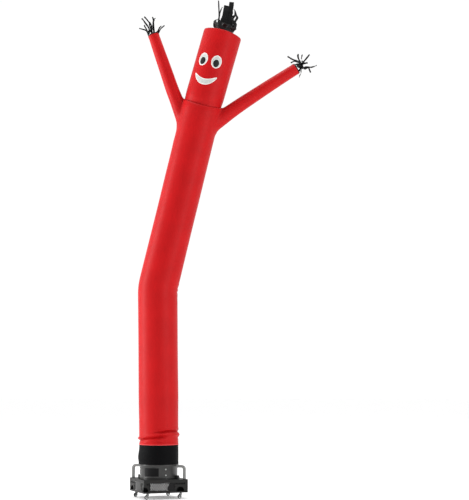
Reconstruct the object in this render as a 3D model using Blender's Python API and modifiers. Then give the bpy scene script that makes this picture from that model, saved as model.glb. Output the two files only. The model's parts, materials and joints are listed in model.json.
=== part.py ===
"""Inflatable air dancer standing on its round blower: metres, +Z up, the front along -Y.

The dancer is thin cloth sewn into tubes and stands as the air holds it: a straight leg, a bend
at half height, and a body and a head that lean towards +X. The blower is turned about its axis,
so that one corner of its housing faces the front.
"""

import math
from collections import namedtuple

import bmesh
import bpy
from mathutils import Matrix, Vector

# Clearances
GAP = 0.0003
CUT = 0.05
WALL_CUT = 0.02

# Dancer
AXIS_X = -0.771
CLOTH = 0.0015
SIDES = 32
TUBE_RADIUS = 0.2285
SLEEVE_TOP = 0.614
BODY_LENGTH = 4.108
BEND_START = 1.74
BEND_END = 1.93
LEAN_LOW = -0.7
LEAN_HIGH = 13.49
NECK_LEAN = 14.5
NECK_DIP = 0.054
NECK_PINCH = 0.012
HEAD_LENGTH = 0.870
HEAD_LEAN = 15.6
HEAD_RADIUS = 0.230
CAP_RISE = 0.030
VENT_RADIUS = 0.108
ARM_SIDES = 20
CUFF_HEIGHT = 0.012
CUFF_WALL = 0.003
STREAMER_WALL = 0.0015
SLEEVE_WALL = 0.002

# Face, measured down from the head's rim and round from its middle
FACE_TURN = -12.0
PATCH = 0.001
EYE_AROUND = 21.4
EYE_DOWN = 0.389
EYE_WIDTH = 0.123
EYE_HEIGHT = 0.156
PUPIL_DROP = 0.019
PUPIL_WIDTH = 0.071
PUPIL_HEIGHT = 0.091
MOUTH_HALF_WIDTH = 0.145
MOUTH_MIDDLE = 0.654
MOUTH_RISE = 0.083
MOUTH_HALF_HEIGHT = 0.036

# Blower
BLOWER_TURN = 22.0
HOUSING_SIDE = 0.536
HOUSING_LOW = 0.072
HOUSING_TOP = 0.223
SHEET = 0.0025
AIR_RADIUS = 0.200
INTAKE_RADIUS = 0.215
DUCT_RADIUS = 0.220
DUCT_INSIDE = 0.216
DUCT_TOP = 0.391
FLANGE_RADIUS = 0.232
FLANGE_HEIGHT = 0.021
BAND_RADIUS = 0.217
RIM_LOW = 0.455
RIM_TOP = 0.475
RIM_RADIUS = 0.2255
RIM_INSIDE = 0.213
WIRE = 0.0025
GUARD_RINGS = (0.085, 0.140, 0.195)
GUARD_SPOKES = 3
SPOKE_REACH = 0.221
HUB_RADIUS = 0.033
HANDLE_SIDE = 0.030
HANDLE_REACH = 0.332
HANDLE_TOP = 0.369
HANDLE_BEND = 0.035
SIGN_WIDTH = 0.180
SIGN_HEIGHT = 0.094
SIGN_MIDDLE = 0.305
BOLT_RADIUS = 0.011
BOLT_HEIGHT = 0.007
BOLT_LEVELS = (0.271, 0.339)
DUCT_TURN = 2.7
BLOCK_SIZE = (0.036, 0.045, 0.040)
BLOCK_CLEAR = 0.0015

# Openings in the housing's faces
MESH_LOW = 0.086
MESH_PITCH = 0.036
MESH_ROW = 0.029
DIAMOND_WIDTH = 0.030
DIAMOND_HEIGHT = 0.052
ARCH_WIDTH = 0.100
ARCH_LOW = 0.090
ARCH_HEIGHT = 0.052
ARCH_PLACE = 0.177
CORNER_ARCH = 0.055
HATCH = (-0.133, 0.059)
HATCH_LOW = 0.088
HATCH_TOP = 0.199

# Casters
CASTER_REACH = 0.285
CASTER_TURN = 125.0
WHEEL_RADIUS = 0.025
WHEEL_WIDTH = 0.017
AXLE_RADIUS = 0.004
TRAIL = 0.016
PLATE_SIDE = 0.044
PLATE_THICKNESS = 0.003
FORK_WIDTH = 0.026
FORK_WALL = 0.0025
FORK_TOP = 0.058
FORK_LENGTH = 0.028

BACK = Vector((0, 1, 0))

Arm = namedtuple("Arm", "x z radius")
LEFT_ARM = (
    Arm(-0.436, 4.290, 0.088),
    Arm(-0.478, 4.412, 0.087),
    Arm(-0.525, 4.545, 0.084),
    Arm(-0.580, 4.703, 0.081),
    Arm(-0.639, 4.856, 0.078),
    Arm(-0.752, 5.184, 0.072),
    Arm(-0.859, 5.495, 0.0665),
)
RIGHT_ARM = (
    Arm(-0.351, 4.262, 0.095),
    Arm(-0.210, 4.356, 0.094),
    Arm(-0.075, 4.456, 0.091),
    Arm(0.052, 4.550, 0.085),
    Arm(0.220, 4.668, 0.080),
    Arm(0.520, 4.868, 0.073),
    Arm(0.851, 5.081, 0.0665),
)

Row = namedtuple("Row", "place radius")
SLEEVE_ROWS = (
    Row(DUCT_TOP + GAP, 0.2295),
    Row(0.430, 0.2302),
    Row(0.485, 0.2300),
    Row(0.540, 0.2294),
    Row(SLEEVE_TOP, TUBE_RADIUS),
)
CAP_ROWS = (
    Row(0.0, HEAD_RADIUS - 0.004),
    Row(0.015, 0.195),
    Row(0.025, 0.155),
    Row(CAP_RISE, VENT_RADIUS),
)
COLLAR_ROWS = (
    Row(0.0, 0.1155),
    Row(0.022, 0.1135),
    Row(0.045, 0.1180),
    Row(0.070, 0.1290),
)

Strip = namedtuple("Strip", "around length middle end out width")
LEFT_FINGERS = (
    Strip(188, 0.174, -34, -84, 4, 0.014),
    Strip(212, 0.234, -35, -33, -8, 0.014),
    Strip(148, 0.164, -30, -16, 10, 0.013),
    Strip(248, 0.240, -28, -48, -12, 0.014),
    Strip(277, 0.205, -9, 6, -6, 0.014),
    Strip(352, 0.120, 16, 58, -5, 0.014),
    Strip(318, 0.075, -4, 12, -14, 0.018),
    Strip(92, 0.200, -22, 4, 12, 0.014),
    Strip(45, 0.150, 2, 30, 16, 0.013),
)
RIGHT_FINGERS = (
    Strip(187, 0.215, -40, -66, 6, 0.014),
    Strip(222, 0.170, -30, -125, -10, 0.013),
    Strip(158, 0.175, -14, 0, 9, 0.014),
    Strip(246, 0.175, -4, 16, -6, 0.013),
    Strip(272, 0.180, 40, 42, -8, 0.014),
    Strip(296, 0.115, 78, 92, -14, 0.020),
    Strip(326, 0.245, 84, 74, -6, 0.014),
    Strip(350, 0.190, 104, 158, 5, 0.014),
    Strip(16, 0.165, 160, 205, 8, 0.013),
    Strip(92, 0.180, 60, 30, 14, 0.014),
)
HAIR_STRIPS = (
    Strip(242, 0.255, 24, 12, -6, 0.046),
    Strip(300, 0.250, 10, 6, -4, 0.046),
    Strip(205, 0.270, 12, -6, -3, 0.014),
    Strip(222, 0.190, 2, 34, -12, 0.013),
    Strip(345, 0.225, 34, -14, 6, 0.016),
    Strip(20, 0.200, 26, 4, 10, 0.022),
    Strip(62, 0.235, 20, 8, 8, 0.040),
    Strip(112, 0.250, 12, 20, 6, 0.046),
    Strip(158, 0.190, 4, -10, 12, 0.020),
)

Fold = namedtuple("Fold", "height rise depth width middle reach")
FOOT_FOLDS = (
    Fold(0.100, 0.035, -0.011, 0.016, 232, 62),
    Fold(0.072, 0.030, 0.008, 0.014, 205, 55),
    Fold(0.152, 0.010, -0.012, 0.015, 325, 48),
    Fold(0.122, 0.008, 0.009, 0.016, 345, 45),
    Fold(0.110, -0.020, -0.010, 0.017, 80, 70),
    Fold(0.040, 0.006, -0.005, 0.014, 300, 60),
)


def clear_scene():
    """Remove what the file starts with."""
    for item in list(bpy.data.objects):
        bpy.data.objects.remove(item, do_unlink=True)


def collection(name):
    made = bpy.data.collections.new(name)
    bpy.context.scene.collection.children.link(made)
    return made


def finish_material(name, colour, roughness, metallic=0.0):
    material = bpy.data.materials.new(name)
    material.use_nodes = True
    shader = material.node_tree.nodes["Principled BSDF"]
    shader.inputs["Base Color"].default_value = (*colour, 1)
    shader.inputs["Roughness"].default_value = roughness
    shader.inputs["Metallic"].default_value = metallic
    return material


clear_scene()
PARTS = collection("air_dancer")
CUTTERS = collection("cutters")
RED = finish_material("red_nylon", (0.60, 0.016, 0.018), 0.45)
BLACK_CLOTH = finish_material("black_nylon", (0.006, 0.006, 0.007), 0.60)
STREAMER = finish_material("streamer", (0.030, 0.030, 0.034), 0.40)
PALE = finish_material("pale_print", (0.68, 0.70, 0.68), 0.50)
GREY_METAL = finish_material("grey_metal", (0.080, 0.082, 0.076), 0.42, 0.6)
BLACK_METAL = finish_material("black_metal", (0.012, 0.012, 0.013), 0.50, 0.2)
ZINC = finish_material("zinc", (0.55, 0.58, 0.57), 0.30, 1.0)
RUBBER = finish_material("wheel_rubber", (0.015, 0.015, 0.016), 0.60)
YELLOW = finish_material("yellow_cap", (0.80, 0.52, 0.03), 0.40)


def add_mesh(name, bm, material, parent=None, sharp=40):
    """Make an object of a bmesh, among the parts."""
    mesh = bpy.data.meshes.new(name)
    bm.to_mesh(mesh)
    bm.free()
    mesh.shade_smooth()
    mesh.set_sharp_from_angle(angle=math.radians(sharp))
    item = bpy.data.objects.new(name, mesh)
    PARTS.objects.link(item)
    if material:
        mesh.materials.append(material)
    if parent:
        item.parent = parent
    return item


def make_cutter(item):
    """Move an object to the cutters, drawn as wire and left out of the part."""
    PARTS.objects.unlink(item)
    CUTTERS.objects.link(item)
    item.hide_render = True
    item.display_type = "WIRE"
    return item


def solidify(item, thickness, offset=-1):
    """Give an open surface its thickness."""
    layer = item.modifiers.new("thickness", "SOLIDIFY")
    layer.thickness = thickness
    layer.offset = offset


def combine(item, other, operation="DIFFERENCE"):
    """Cut an object by another, or join it."""
    step = item.modifiers.new(operation.lower(), "BOOLEAN")
    step.operation = operation
    step.object = other


def loft(name, sections, material, parent=None, caps=False, sharp=40):
    """Skin through unlike sections, each a ring of as many points."""
    bm = bmesh.new()
    rings = [[bm.verts.new(point) for point in section] for section in sections]
    count = len(rings[0])
    for low, high in zip(rings, rings[1:]):
        for i in range(count):
            j = (i + 1) % count
            bm.faces.new((low[i], low[j], high[j], high[i]))
    if caps:
        bm.faces.new(reversed(rings[0]))
        bm.faces.new(rings[-1])
    return add_mesh(name, bm, material, parent, sharp)


def turned(name, profile, material, parent=None, steps=32):
    """Turn a closed profile of (radius, height) points about the Z axis."""
    bm = bmesh.new()
    points = [bm.verts.new((radius, 0, height)) for radius, height in profile]
    for first, second in zip(points, points[1:] + points[:1]):
        bm.edges.new((first, second))
    item = add_mesh(name, bm, material, parent)
    screw = item.modifiers.new("turn", "SCREW")
    screw.axis = "Z"
    screw.steps = steps
    screw.render_steps = steps
    screw.use_merge_vertices = True
    screw.merge_threshold = 0.00001
    return item


def block(name, size, centre, material, parent=None, bevel=0.0):
    """Box of a size about a centre."""
    bm = bmesh.new()
    bmesh.ops.create_cube(bm, size=1)
    bmesh.ops.scale(bm, vec=size, verts=bm.verts)
    bmesh.ops.translate(bm, vec=centre, verts=bm.verts)
    item = add_mesh(name, bm, material, parent)
    if bevel:
        edge = item.modifiers.new("edge", "BEVEL")
        edge.width = bevel
        edge.segments = 2
    return item


def rod(name, radius, start, end, material, parent=None, sides=12, taper=1.0):
    """Capped cylinder between two points, narrower at its end by a taper."""
    start = Vector(start)
    span = Vector(end) - start
    bm = bmesh.new()
    bmesh.ops.create_cone(bm, cap_ends=True, segments=sides, radius1=radius,
                          radius2=radius * taper, depth=span.length)
    place = Matrix.Translation(start + span / 2) @ span.to_track_quat("Z", "Y").to_matrix().to_4x4()
    bmesh.ops.transform(bm, matrix=place, verts=bm.verts)
    return add_mesh(name, bm, material, parent)


def smooth(value, low, high):
    """Rise from 0 to 1 between two values, flat at both."""
    part = min(max((value - low) / (high - low), 0), 1)
    return part * part * (3 - 2 * part)


def ring(centre, lean, radius, sides, dip=0.0, dent=None):
    """Section square to a path that leans from upright towards +X, by radians.

    Points run from the right-hand side over the back; dip lowers the front and lifts the back.
    """
    right = Vector((math.cos(lean), 0, -math.sin(lean)))
    along = Vector((math.sin(lean), 0, math.cos(lean)))
    points = []
    for i in range(sides):
        turn = 2 * math.pi * i / sides
        reach = radius + (dent(turn) if dent else 0)
        across = math.cos(turn) * right + math.sin(turn) * BACK
        points.append(centre + reach * across + dip * math.sin(turn) * along)
    return points


def body_lean(along):
    return math.radians(LEAN_LOW + (LEAN_HIGH - LEAN_LOW) * smooth(along, BEND_START, BEND_END))


def body_centre(along):
    """Place on the body's axis, at a distance along it from the sleeve."""
    steps = max(1, round(along / 0.02))
    centre = Vector((AXIS_X, 0, SLEEVE_TOP + GAP))
    for i in range(steps):
        lean = body_lean((i + 0.5) * along / steps)
        centre += along / steps * Vector((math.sin(lean), 0, math.cos(lean)))
    return centre


def foot_dent(along):
    """Folds above the sleeve: each runs round as a soft, slanting trough or ridge."""
    def dent(turn):
        total = 0
        for fold in FOOT_FOLDS:
            around = (math.degrees(turn) - fold.middle + 180) % 360 - 180
            level = fold.height + fold.rise * around / fold.reach
            share = math.exp(-((around / fold.reach) ** 4))
            total += fold.depth * share * math.exp(-(((along - level) / fold.width) ** 2))
        return total
    return dent


def body_sections(low=0.0, high=BODY_LENGTH, extra=0.0):
    """Sections of the body's outer surface between two places along it."""
    foot = [0.022 * i for i in range(10)]
    middle = [0.26, 0.5, 0.95, 1.4, BEND_START, 1.79, 1.835, 1.88, BEND_END]
    upper = [2.25, 2.7, 3.1, 3.4, 3.62, 3.8, 3.95, 4.04, 4.085]
    between = [along for along in foot + middle + upper if low < along < high]
    sections = []
    for along in [low] + between + [high]:
        near_neck = smooth(along, BODY_LENGTH - 0.07, BODY_LENGTH)
        leaning = smooth(along, BODY_LENGTH - 0.9, BODY_LENGTH)
        lean = body_lean(along) + math.radians(NECK_LEAN - LEAN_HIGH) * near_neck
        lean *= smooth(along, 0, 0.04)
        radius = TUBE_RADIUS + extra - NECK_PINCH * near_neck
        dent = foot_dent(along) if along < 0.25 else None
        sections.append(ring(body_centre(along), lean, radius, SIDES, NECK_DIP * leaning, dent))
    return sections


def head_centre(along):
    """Place on the head's axis, at a distance along it from the neck."""
    neck = math.radians(NECK_LEAN)
    foot = body_centre(BODY_LENGTH) + 2 * GAP * Vector((math.sin(neck), 0, math.cos(neck)))
    lean = math.radians(HEAD_LEAN)
    return foot + along * Vector((math.sin(lean), 0, math.cos(lean)))


def head_sections():
    rows = (0, 0.023, 0.07, 0.16, 0.24, 0.32, 0.45, 0.58, 0.72, HEAD_LENGTH - 0.03,
            HEAD_LENGTH - 0.008, HEAD_LENGTH)
    sections = []
    for along in rows:
        near_neck = 1 - smooth(along, 0, 0.07)
        near_rim = smooth(along, HEAD_LENGTH - 0.03, HEAD_LENGTH)
        low = 1 - smooth(along, 0, 0.24)
        lean = math.radians(HEAD_LEAN + (NECK_LEAN - HEAD_LEAN) * near_neck)
        neck_radius = TUBE_RADIUS - NECK_PINCH
        radius = HEAD_RADIUS + (neck_radius - HEAD_RADIUS) * near_neck - 0.004 * near_rim
        sections.append(ring(head_centre(along), lean, radius, SIDES, NECK_DIP * low))
    return sections


def sleeve_sections():
    """Sections of the sleeve, which stands on the flange and bulges where it leaves the rim."""
    def bulge(height):
        return lambda turn: 0.005 * max(0, math.cos(turn - math.pi)) ** 2 * math.exp(
            -(((height - 0.48) / 0.05) ** 2))

    return [ring(Vector((AXIS_X, 0, row.place)), 0, row.radius, SIDES, 0, bulge(row.place))
            for row in SLEEVE_ROWS]


def cap_sections():
    """Sections of the head's top panel, from its seam up to the vent."""
    lean = math.radians(HEAD_LEAN)
    foot = HEAD_LENGTH + CLOTH + 2 * GAP
    return [ring(head_centre(foot + row.place), lean, row.radius, SIDES) for row in CAP_ROWS]


def arm_sections(rows, less=0.0):
    """Sections of an arm, square to the line through its neighbours."""
    sections = []
    for i, row in enumerate(rows):
        low = rows[max(i - 1, 0)]
        high = rows[min(i + 1, len(rows) - 1)]
        lean = math.atan2(high.x - low.x, high.z - low.z)
        sections.append(ring(Vector((row.x, 0, row.z)), lean, row.radius - less, ARM_SIDES))
    return sections


def arm_tip(rows):
    """Centre and lean of an arm's open end."""
    lean = math.atan2(rows[-1].x - rows[-2].x, rows[-1].z - rows[-2].z)
    return Vector((rows[-1].x, 0, rows[-1].z)), lean


def make_body():
    """Leg up to the end of the bend, and the chest above it with a hole under each arm."""
    leg = loft("leg_tube", body_sections(high=BEND_END), RED)
    solidify(leg, CLOTH)
    body = loft("body_tube", body_sections(low=BEND_END + GAP), RED)
    solidify(body, CLOTH)
    for side, rows in (("left", LEFT_ARM), ("right", RIGHT_ARM)):
        hole = loft(f"{side}_arm_hole", arm_sections(rows[:5], CLOTH), None, caps=True)
        combine(body, make_cutter(hole))


def make_arms():
    """Arms whose roots are cut to the body's surface."""
    surface = loft("body_surface", body_sections(extra=GAP), None, caps=True)
    make_cutter(surface)
    for side, rows in (("left", LEFT_ARM), ("right", RIGHT_ARM)):
        arm = loft(f"arm_{side}", arm_sections(rows), RED)
        solidify(arm, CLOTH)
        combine(arm, surface)


def strip_sections(strip, root, lean, radius):
    """Flat sections of a streamer, from inside its backing out along three directions."""
    wall = STREAMER_WALL
    turn = math.radians(strip.around)
    right = Vector((math.cos(lean), 0, -math.sin(lean)))
    outward = math.cos(turn) * right + math.sin(turn) * BACK
    tangent = -math.sin(turn) * right + math.cos(turn) * BACK
    place = root + radius * outward
    leans = (lean, math.radians(strip.middle), math.radians(strip.end))
    steps = 6
    sections = []
    for i in range(steps + 1):
        part = 2 * i / steps
        blend = part if part < 1 else part - 1
        low, high = (leans[0], leans[1]) if part < 1 else (leans[1], leans[2])
        tilt = low + (high - low) * blend
        out = math.radians(strip.out) * min(part, 1)
        course = Vector((math.sin(tilt), math.tan(out), math.cos(tilt))).normalized()
        width = (tangent - tangent.dot(course) * course).normalized()
        face = course.cross(width)
        half = strip.width / 2 * (1 - 0.35 * (i / steps) ** 3)
        corners = ((-half, -wall / 2), (half, -wall / 2), (half, wall / 2), (-half, wall / 2))
        sections.append([place + a * width + b * face for a, b in corners])
        place = place + strip.length / steps * course
    return sections


def make_fringe(name, backing, strips, root, lean, radius):
    """Fuse streamers into the backing that holds their roots."""
    for i, strip in enumerate(strips):
        piece = loft(f"{name}_strip_{i + 1}", strip_sections(strip, root, lean, radius), None,
                     caps=True)
        combine(backing, make_cutter(piece), "UNION")


def make_fingers():
    """Cuff and streamers at each wrist."""
    for side, rows, strips in (("left", LEFT_ARM, LEFT_FINGERS),
                               ("right", RIGHT_ARM, RIGHT_FINGERS)):
        tip, lean = arm_tip(rows)
        along = Vector((math.sin(lean), 0, math.cos(lean)))
        radius = rows[-1].radius
        cuff_rows = [ring(tip + height * along, lean, radius + 0.0005, ARM_SIDES)
                     for height in (GAP, CUFF_HEIGHT)]
        cuff = loft(f"fingers_{side}", cuff_rows, STREAMER)
        solidify(cuff, CUFF_WALL)
        root = tip + 0.4 * CUFF_HEIGHT * along
        make_fringe(cuff.name, cuff, strips, root, lean, radius - CUFF_WALL / 2)


def make_hair():
    """Collar round the vent, flared at its top, and the hair's strips."""
    lean = math.radians(HEAD_LEAN)
    foot = HEAD_LENGTH + CLOTH + CAP_RISE + 3 * GAP

    def crumple(rise):
        return lambda turn: rise * 0.10 * math.sin(5 * turn + 0.6) * math.cos(2 * turn)

    rings = [ring(head_centre(foot + row.place), lean, row.radius, 24, 0, crumple(row.place))
             for row in COLLAR_ROWS]
    collar = loft("hair", rings, STREAMER)
    solidify(collar, CUFF_WALL)
    root = COLLAR_ROWS[2]
    make_fringe("hair", collar, HAIR_STRIPS, head_centre(foot + root.place + 0.003), lean,
                root.radius - 0.0005)


def on_head(down, around, lift):
    """Place on the head, down from its rim and round by an arc from the face's middle."""
    lean = math.radians(HEAD_LEAN)
    right = Vector((math.cos(lean), 0, -math.sin(lean)))
    turn = math.radians(FACE_TURN - 90) + around / HEAD_RADIUS
    across = math.cos(turn) * right + math.sin(turn) * BACK
    return head_centre(HEAD_LENGTH - down) + (HEAD_RADIUS + lift) * across


def oval_patch(name, down, around, width, height, lift, material, sides=20, rings=3):
    """Oval of cloth laid on the head's curve."""
    bm = bmesh.new()
    centre = bm.verts.new(on_head(down, around, lift))
    loops = []
    for i in range(1, rings + 1):
        loop = []
        for k in range(sides):
            turn = 2 * math.pi * k / sides
            reach = i / rings / 2
            loop.append(bm.verts.new(on_head(down - reach * height * math.sin(turn),
                                             around + reach * width * math.cos(turn), lift)))
        loops.append(loop)
    for k in range(sides):
        after = (k + 1) % sides
        bm.faces.new((centre, loops[0][k], loops[0][after]))
        for low, high in zip(loops, loops[1:]):
            bm.faces.new((low[k], high[k], high[after], low[after]))
    patch = add_mesh(name, bm, material)
    solidify(patch, PATCH, 1)


def mouth_patch():
    """Crescent of cloth, thick in its middle and round at its tips."""
    columns = 24
    bm = bmesh.new()
    rows = []
    for i in range(columns + 1):
        share = math.sin(math.pi / 2 * 0.97 * (2 * i / columns - 1))
        down = MOUTH_MIDDLE - MOUTH_RISE * share ** 2
        half = MOUTH_HALF_HEIGHT * math.sqrt(1 - abs(share) ** 2.6)
        around = MOUTH_HALF_WIDTH * share
        rows.append([bm.verts.new(on_head(down + side * half, around, GAP))
                     for side in (1, 0, -1)])
    for left, right in zip(rows, rows[1:]):
        for low, high in ((0, 1), (1, 2)):
            bm.faces.new((left[low], right[low], right[high], left[high]))
    patch = add_mesh("mouth", bm, PALE)
    solidify(patch, PATCH, 1)


def make_face():
    for side, way in (("left", -1), ("right", 1)):
        around = way * math.radians(EYE_AROUND) * HEAD_RADIUS
        oval_patch(f"eye_{side}", EYE_DOWN, around, EYE_WIDTH, EYE_HEIGHT, 1.5 * GAP, PALE)
        oval_patch(f"pupil_{side}", EYE_DOWN + PUPIL_DROP, around, PUPIL_WIDTH, PUPIL_HEIGHT,
                   2.5 * GAP + PATCH, BLACK_CLOTH, 16, 2)
    mouth_patch()


def make_dancer():
    solidify(loft("sleeve", sleeve_sections(), BLACK_CLOTH), SLEEVE_WALL)
    make_body()
    make_arms()
    solidify(loft("head_tube", head_sections(), RED), CLOTH)
    solidify(loft("head_cap", cap_sections(), RED), CLOTH)
    make_fingers()
    make_hair()
    make_face()


def prism(bm, outline, depth, place):
    """Add an extruded outline of (across, up) points to a cutter, along its own depth."""
    near = [bm.verts.new(place @ Vector((a, -depth, b))) for a, b in outline]
    far = [bm.verts.new(place @ Vector((a, depth, b))) for a, b in outline]
    bm.faces.new(near)
    bm.faces.new(reversed(far))
    count = len(outline)
    for i in range(count):
        j = (i + 1) % count
        bm.faces.new((near[j], near[i], far[i], far[j]))


def face_place(degrees):
    """Frame of a housing face: its middle, across to the right as seen from outside."""
    return Matrix.Rotation(math.radians(degrees), 4, "Z") @ Matrix.Translation(
        (0, -HOUSING_SIDE / 2, 0))


def arch_outline(centre, half, steps=8):
    points = [(centre - half, ARCH_LOW), (centre + half, ARCH_LOW)]
    for i in range(1, steps):
        turn = math.pi * i / steps
        points.append((centre + half * math.cos(turn), ARCH_LOW + ARCH_HEIGHT * math.sin(turn)))
    return points


def diamonds(spans, keep_off):
    """Outlines of a face's diamonds, within spans and clear of what is kept off."""
    outlines = []
    columns = int(HOUSING_SIDE / MESH_PITCH)
    for row in range(3):
        level = MESH_LOW + DIAMOND_HEIGHT / 2 + row * MESH_ROW
        shift = MESH_PITCH / 2 if row % 2 else 0
        for column in range(-columns, columns + 1):
            centre = column * MESH_PITCH + shift
            half = DIAMOND_WIDTH / 2
            inside = any(low <= centre - half and centre + half <= high for low, high in spans)
            blocked = any(abs(centre - place) < reach + half and level < top
                          for place, reach, top in keep_off)
            if inside and not blocked:
                tall = DIAMOND_HEIGHT / 2
                outlines.append([(centre - half, level), (centre, level - tall),
                                 (centre + half, level), (centre, level + tall)])
    return outlines


def face_cutter():
    """Every opening in the housing's four faces, in one mesh of separate prisms."""
    edge = HOUSING_SIDE / 2 - 0.020
    arch_top = ARCH_LOW + ARCH_HEIGHT + 0.012
    corner = (HOUSING_SIDE / 2, CORNER_ARCH + 0.012, arch_top)
    other_corner = (-HOUSING_SIDE / 2, CORNER_ARCH + 0.012, arch_top)
    arch = HOUSING_SIDE / 2 - ARCH_PLACE * HOUSING_SIDE
    left_arch = (-arch, ARCH_WIDTH / 2 + 0.008, arch_top)
    right_arch = (arch, ARCH_WIDTH / 2 + 0.008, arch_top)
    hatch = (-HATCH[1], -HATCH[0])
    faces = (
        (0, [(-edge, edge)], [other_corner, right_arch], [arch]),
        (-90, [(-edge, hatch[0] - 0.006), (hatch[1] + 0.006, edge)], [corner, left_arch], [-arch]),
        (90, [(-edge, edge)], [corner, left_arch], [-arch]),
        (180, [(-edge, edge)], [other_corner, right_arch], [arch]),
    )
    bm = bmesh.new()
    for degrees, spans, keep_off, arches in faces:
        place = face_place(degrees)
        for outline in diamonds(spans, keep_off):
            prism(bm, outline, WALL_CUT, place)
        for centre in arches:
            prism(bm, arch_outline(centre, ARCH_WIDTH / 2), WALL_CUT, place)
    outline = [(hatch[0], HATCH_LOW), (hatch[1], HATCH_LOW), (hatch[1], HATCH_TOP),
               (hatch[0], HATCH_TOP)]
    prism(bm, outline, WALL_CUT, face_place(-90))
    return make_cutter(add_mesh("face_openings", bm, None))


def corner_cutter(degrees):
    """Arch that wraps a corner: half an oval from each face, drawn as one leaning wedge."""
    bm = bmesh.new()
    middle = HOUSING_SIDE / 2 * math.sqrt(2)
    half = CORNER_ARCH * math.sqrt(2)
    place = Matrix.Rotation(math.radians(degrees), 4, "Z") @ Matrix.Translation((0, -middle, 0))
    prism(bm, arch_outline(0, half / math.sqrt(2)), half / math.sqrt(2), place)
    return make_cutter(add_mesh(f"corner_opening_{degrees}", bm, None))


def make_housing(parent):
    """Sheet-metal box with a mesh in each face, arches at its corners and a hatch."""
    height = HOUSING_TOP - HOUSING_LOW
    size = (HOUSING_SIDE, HOUSING_SIDE, height)
    housing = block("housing", size, (0, 0, HOUSING_LOW + height / 2), GREY_METAL, parent)
    edge = housing.modifiers.new("edge", "BEVEL")
    edge.width = 0.004
    edge.segments = 1
    solidify(housing, SHEET)
    top = rod("air_way", AIR_RADIUS, (0, 0, HOUSING_TOP - CUT), (0, 0, HOUSING_TOP + CUT), None,
              parent, 32)
    low = rod("intake_way", INTAKE_RADIUS, (0, 0, HOUSING_LOW - CUT), (0, 0, HOUSING_LOW + CUT),
              None, parent, 32)
    for cutter in (top, low, face_cutter(), corner_cutter(-45), corner_cutter(135)):
        cutter.parent = parent
        combine(housing, cutter)
    make_cutter(top)
    make_cutter(low)


def make_deflector(parent):
    """Plate behind the hatch: flat where it is screwed on, then curved inward."""
    outside = -HOUSING_SIDE / 2 + SHEET + GAP
    start = HATCH[1] + 0.014
    flat = 0.036
    radius = 0.240
    course = [(outside, start), (outside, start - flat)]
    for i in range(1, 7):
        turn = math.radians(7.0 * i)
        course.append((outside + radius * (1 - math.cos(turn)),
                       start - flat - radius * math.sin(turn)))
    low = HATCH_LOW - 0.006
    top = HATCH_TOP + 0.006
    sections = []
    for i, (x, y) in enumerate(course):
        before = course[max(i - 1, 0)]
        after = course[min(i + 1, len(course) - 1)]
        way = Vector((after[0] - before[0], after[1] - before[1], 0)).normalized()
        inward = Vector((-way.y, way.x, 0)) * 0.002
        here = Vector((x, y, 0))
        sections.append([here + Vector((0, 0, low)), here + inward + Vector((0, 0, low)),
                         here + inward + Vector((0, 0, top)), here + Vector((0, 0, top))])
    loft("hatch_plate", sections, GREY_METAL, parent, caps=True)
    for i, level in enumerate((HATCH_LOW + 0.010, HATCH_TOP - 0.012)):
        foot = Vector((outside - GAP, HATCH[1] - 0.010, level))
        rod(f"hatch_screw_{i + 1}", 0.004, foot, foot - Vector((0.003, 0, 0)), ZINC, parent, 10)


def radial(turn, reach, height):
    """Place round the blower's axis: turn in degrees from +X."""
    angle = math.radians(turn)
    return Vector((reach * math.cos(angle), reach * math.sin(angle), height))


def make_duct(parent):
    """Round duct with its flange, the dark band, the rim and the wire guard."""
    low = HOUSING_TOP + GAP
    flange = DUCT_TOP - FLANGE_HEIGHT
    duct = turned("duct", [(DUCT_INSIDE, DUCT_TOP), (FLANGE_RADIUS, DUCT_TOP),
                           (FLANGE_RADIUS, flange), (DUCT_RADIUS, flange), (DUCT_RADIUS, low),
                           (DUCT_INSIDE, low)], GREY_METAL, parent)
    duct.rotation_euler.z = math.radians(DUCT_TURN)
    turned("duct_band", [(RIM_INSIDE + 0.001, RIM_LOW - GAP), (BAND_RADIUS, RIM_LOW - GAP),
                         (BAND_RADIUS, DUCT_TOP + GAP), (RIM_INSIDE + 0.001, DUCT_TOP + GAP)],
           BLACK_METAL, parent)
    turned("outlet_rim", [(RIM_INSIDE, RIM_TOP), (RIM_RADIUS, RIM_TOP), (RIM_RADIUS, RIM_LOW),
                          (RIM_INSIDE, RIM_LOW)], GREY_METAL, parent)
    guard_height = RIM_TOP + GAP + WIRE
    guard = rod("wire_guard", HUB_RADIUS, (0, 0, guard_height - WIRE), (0, 0, guard_height + WIRE),
                BLACK_METAL, parent, 24)
    for i, radius in enumerate(GUARD_RINGS):
        wire = turned(f"guard_ring_{i + 1}",
                      [(radius - WIRE, guard_height + WIRE / 2), (radius, guard_height + WIRE / 2),
                       (radius, guard_height - WIRE / 2), (radius - WIRE, guard_height - WIRE / 2)],
                      None, parent, 24)
        combine(guard, make_cutter(wire), "UNION")
    for i in range(GUARD_SPOKES):
        end = radial(15 + 180 * i / GUARD_SPOKES, SPOKE_REACH, 0)
        lift = Vector((0, 0, guard_height))
        spoke = rod(f"guard_spoke_{i + 1}", WIRE * 0.9, lift - end, lift + end, None, parent, 6)
        combine(guard, make_cutter(spoke), "UNION")
    turned("guard_cap", [(0.0, guard_height + WIRE + 0.006), (0.020, guard_height + WIRE + 0.005),
                         (HUB_RADIUS - 0.001, guard_height + WIRE + GAP),
                         (0.0, guard_height + WIRE + GAP)], YELLOW, parent, 20)


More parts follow.
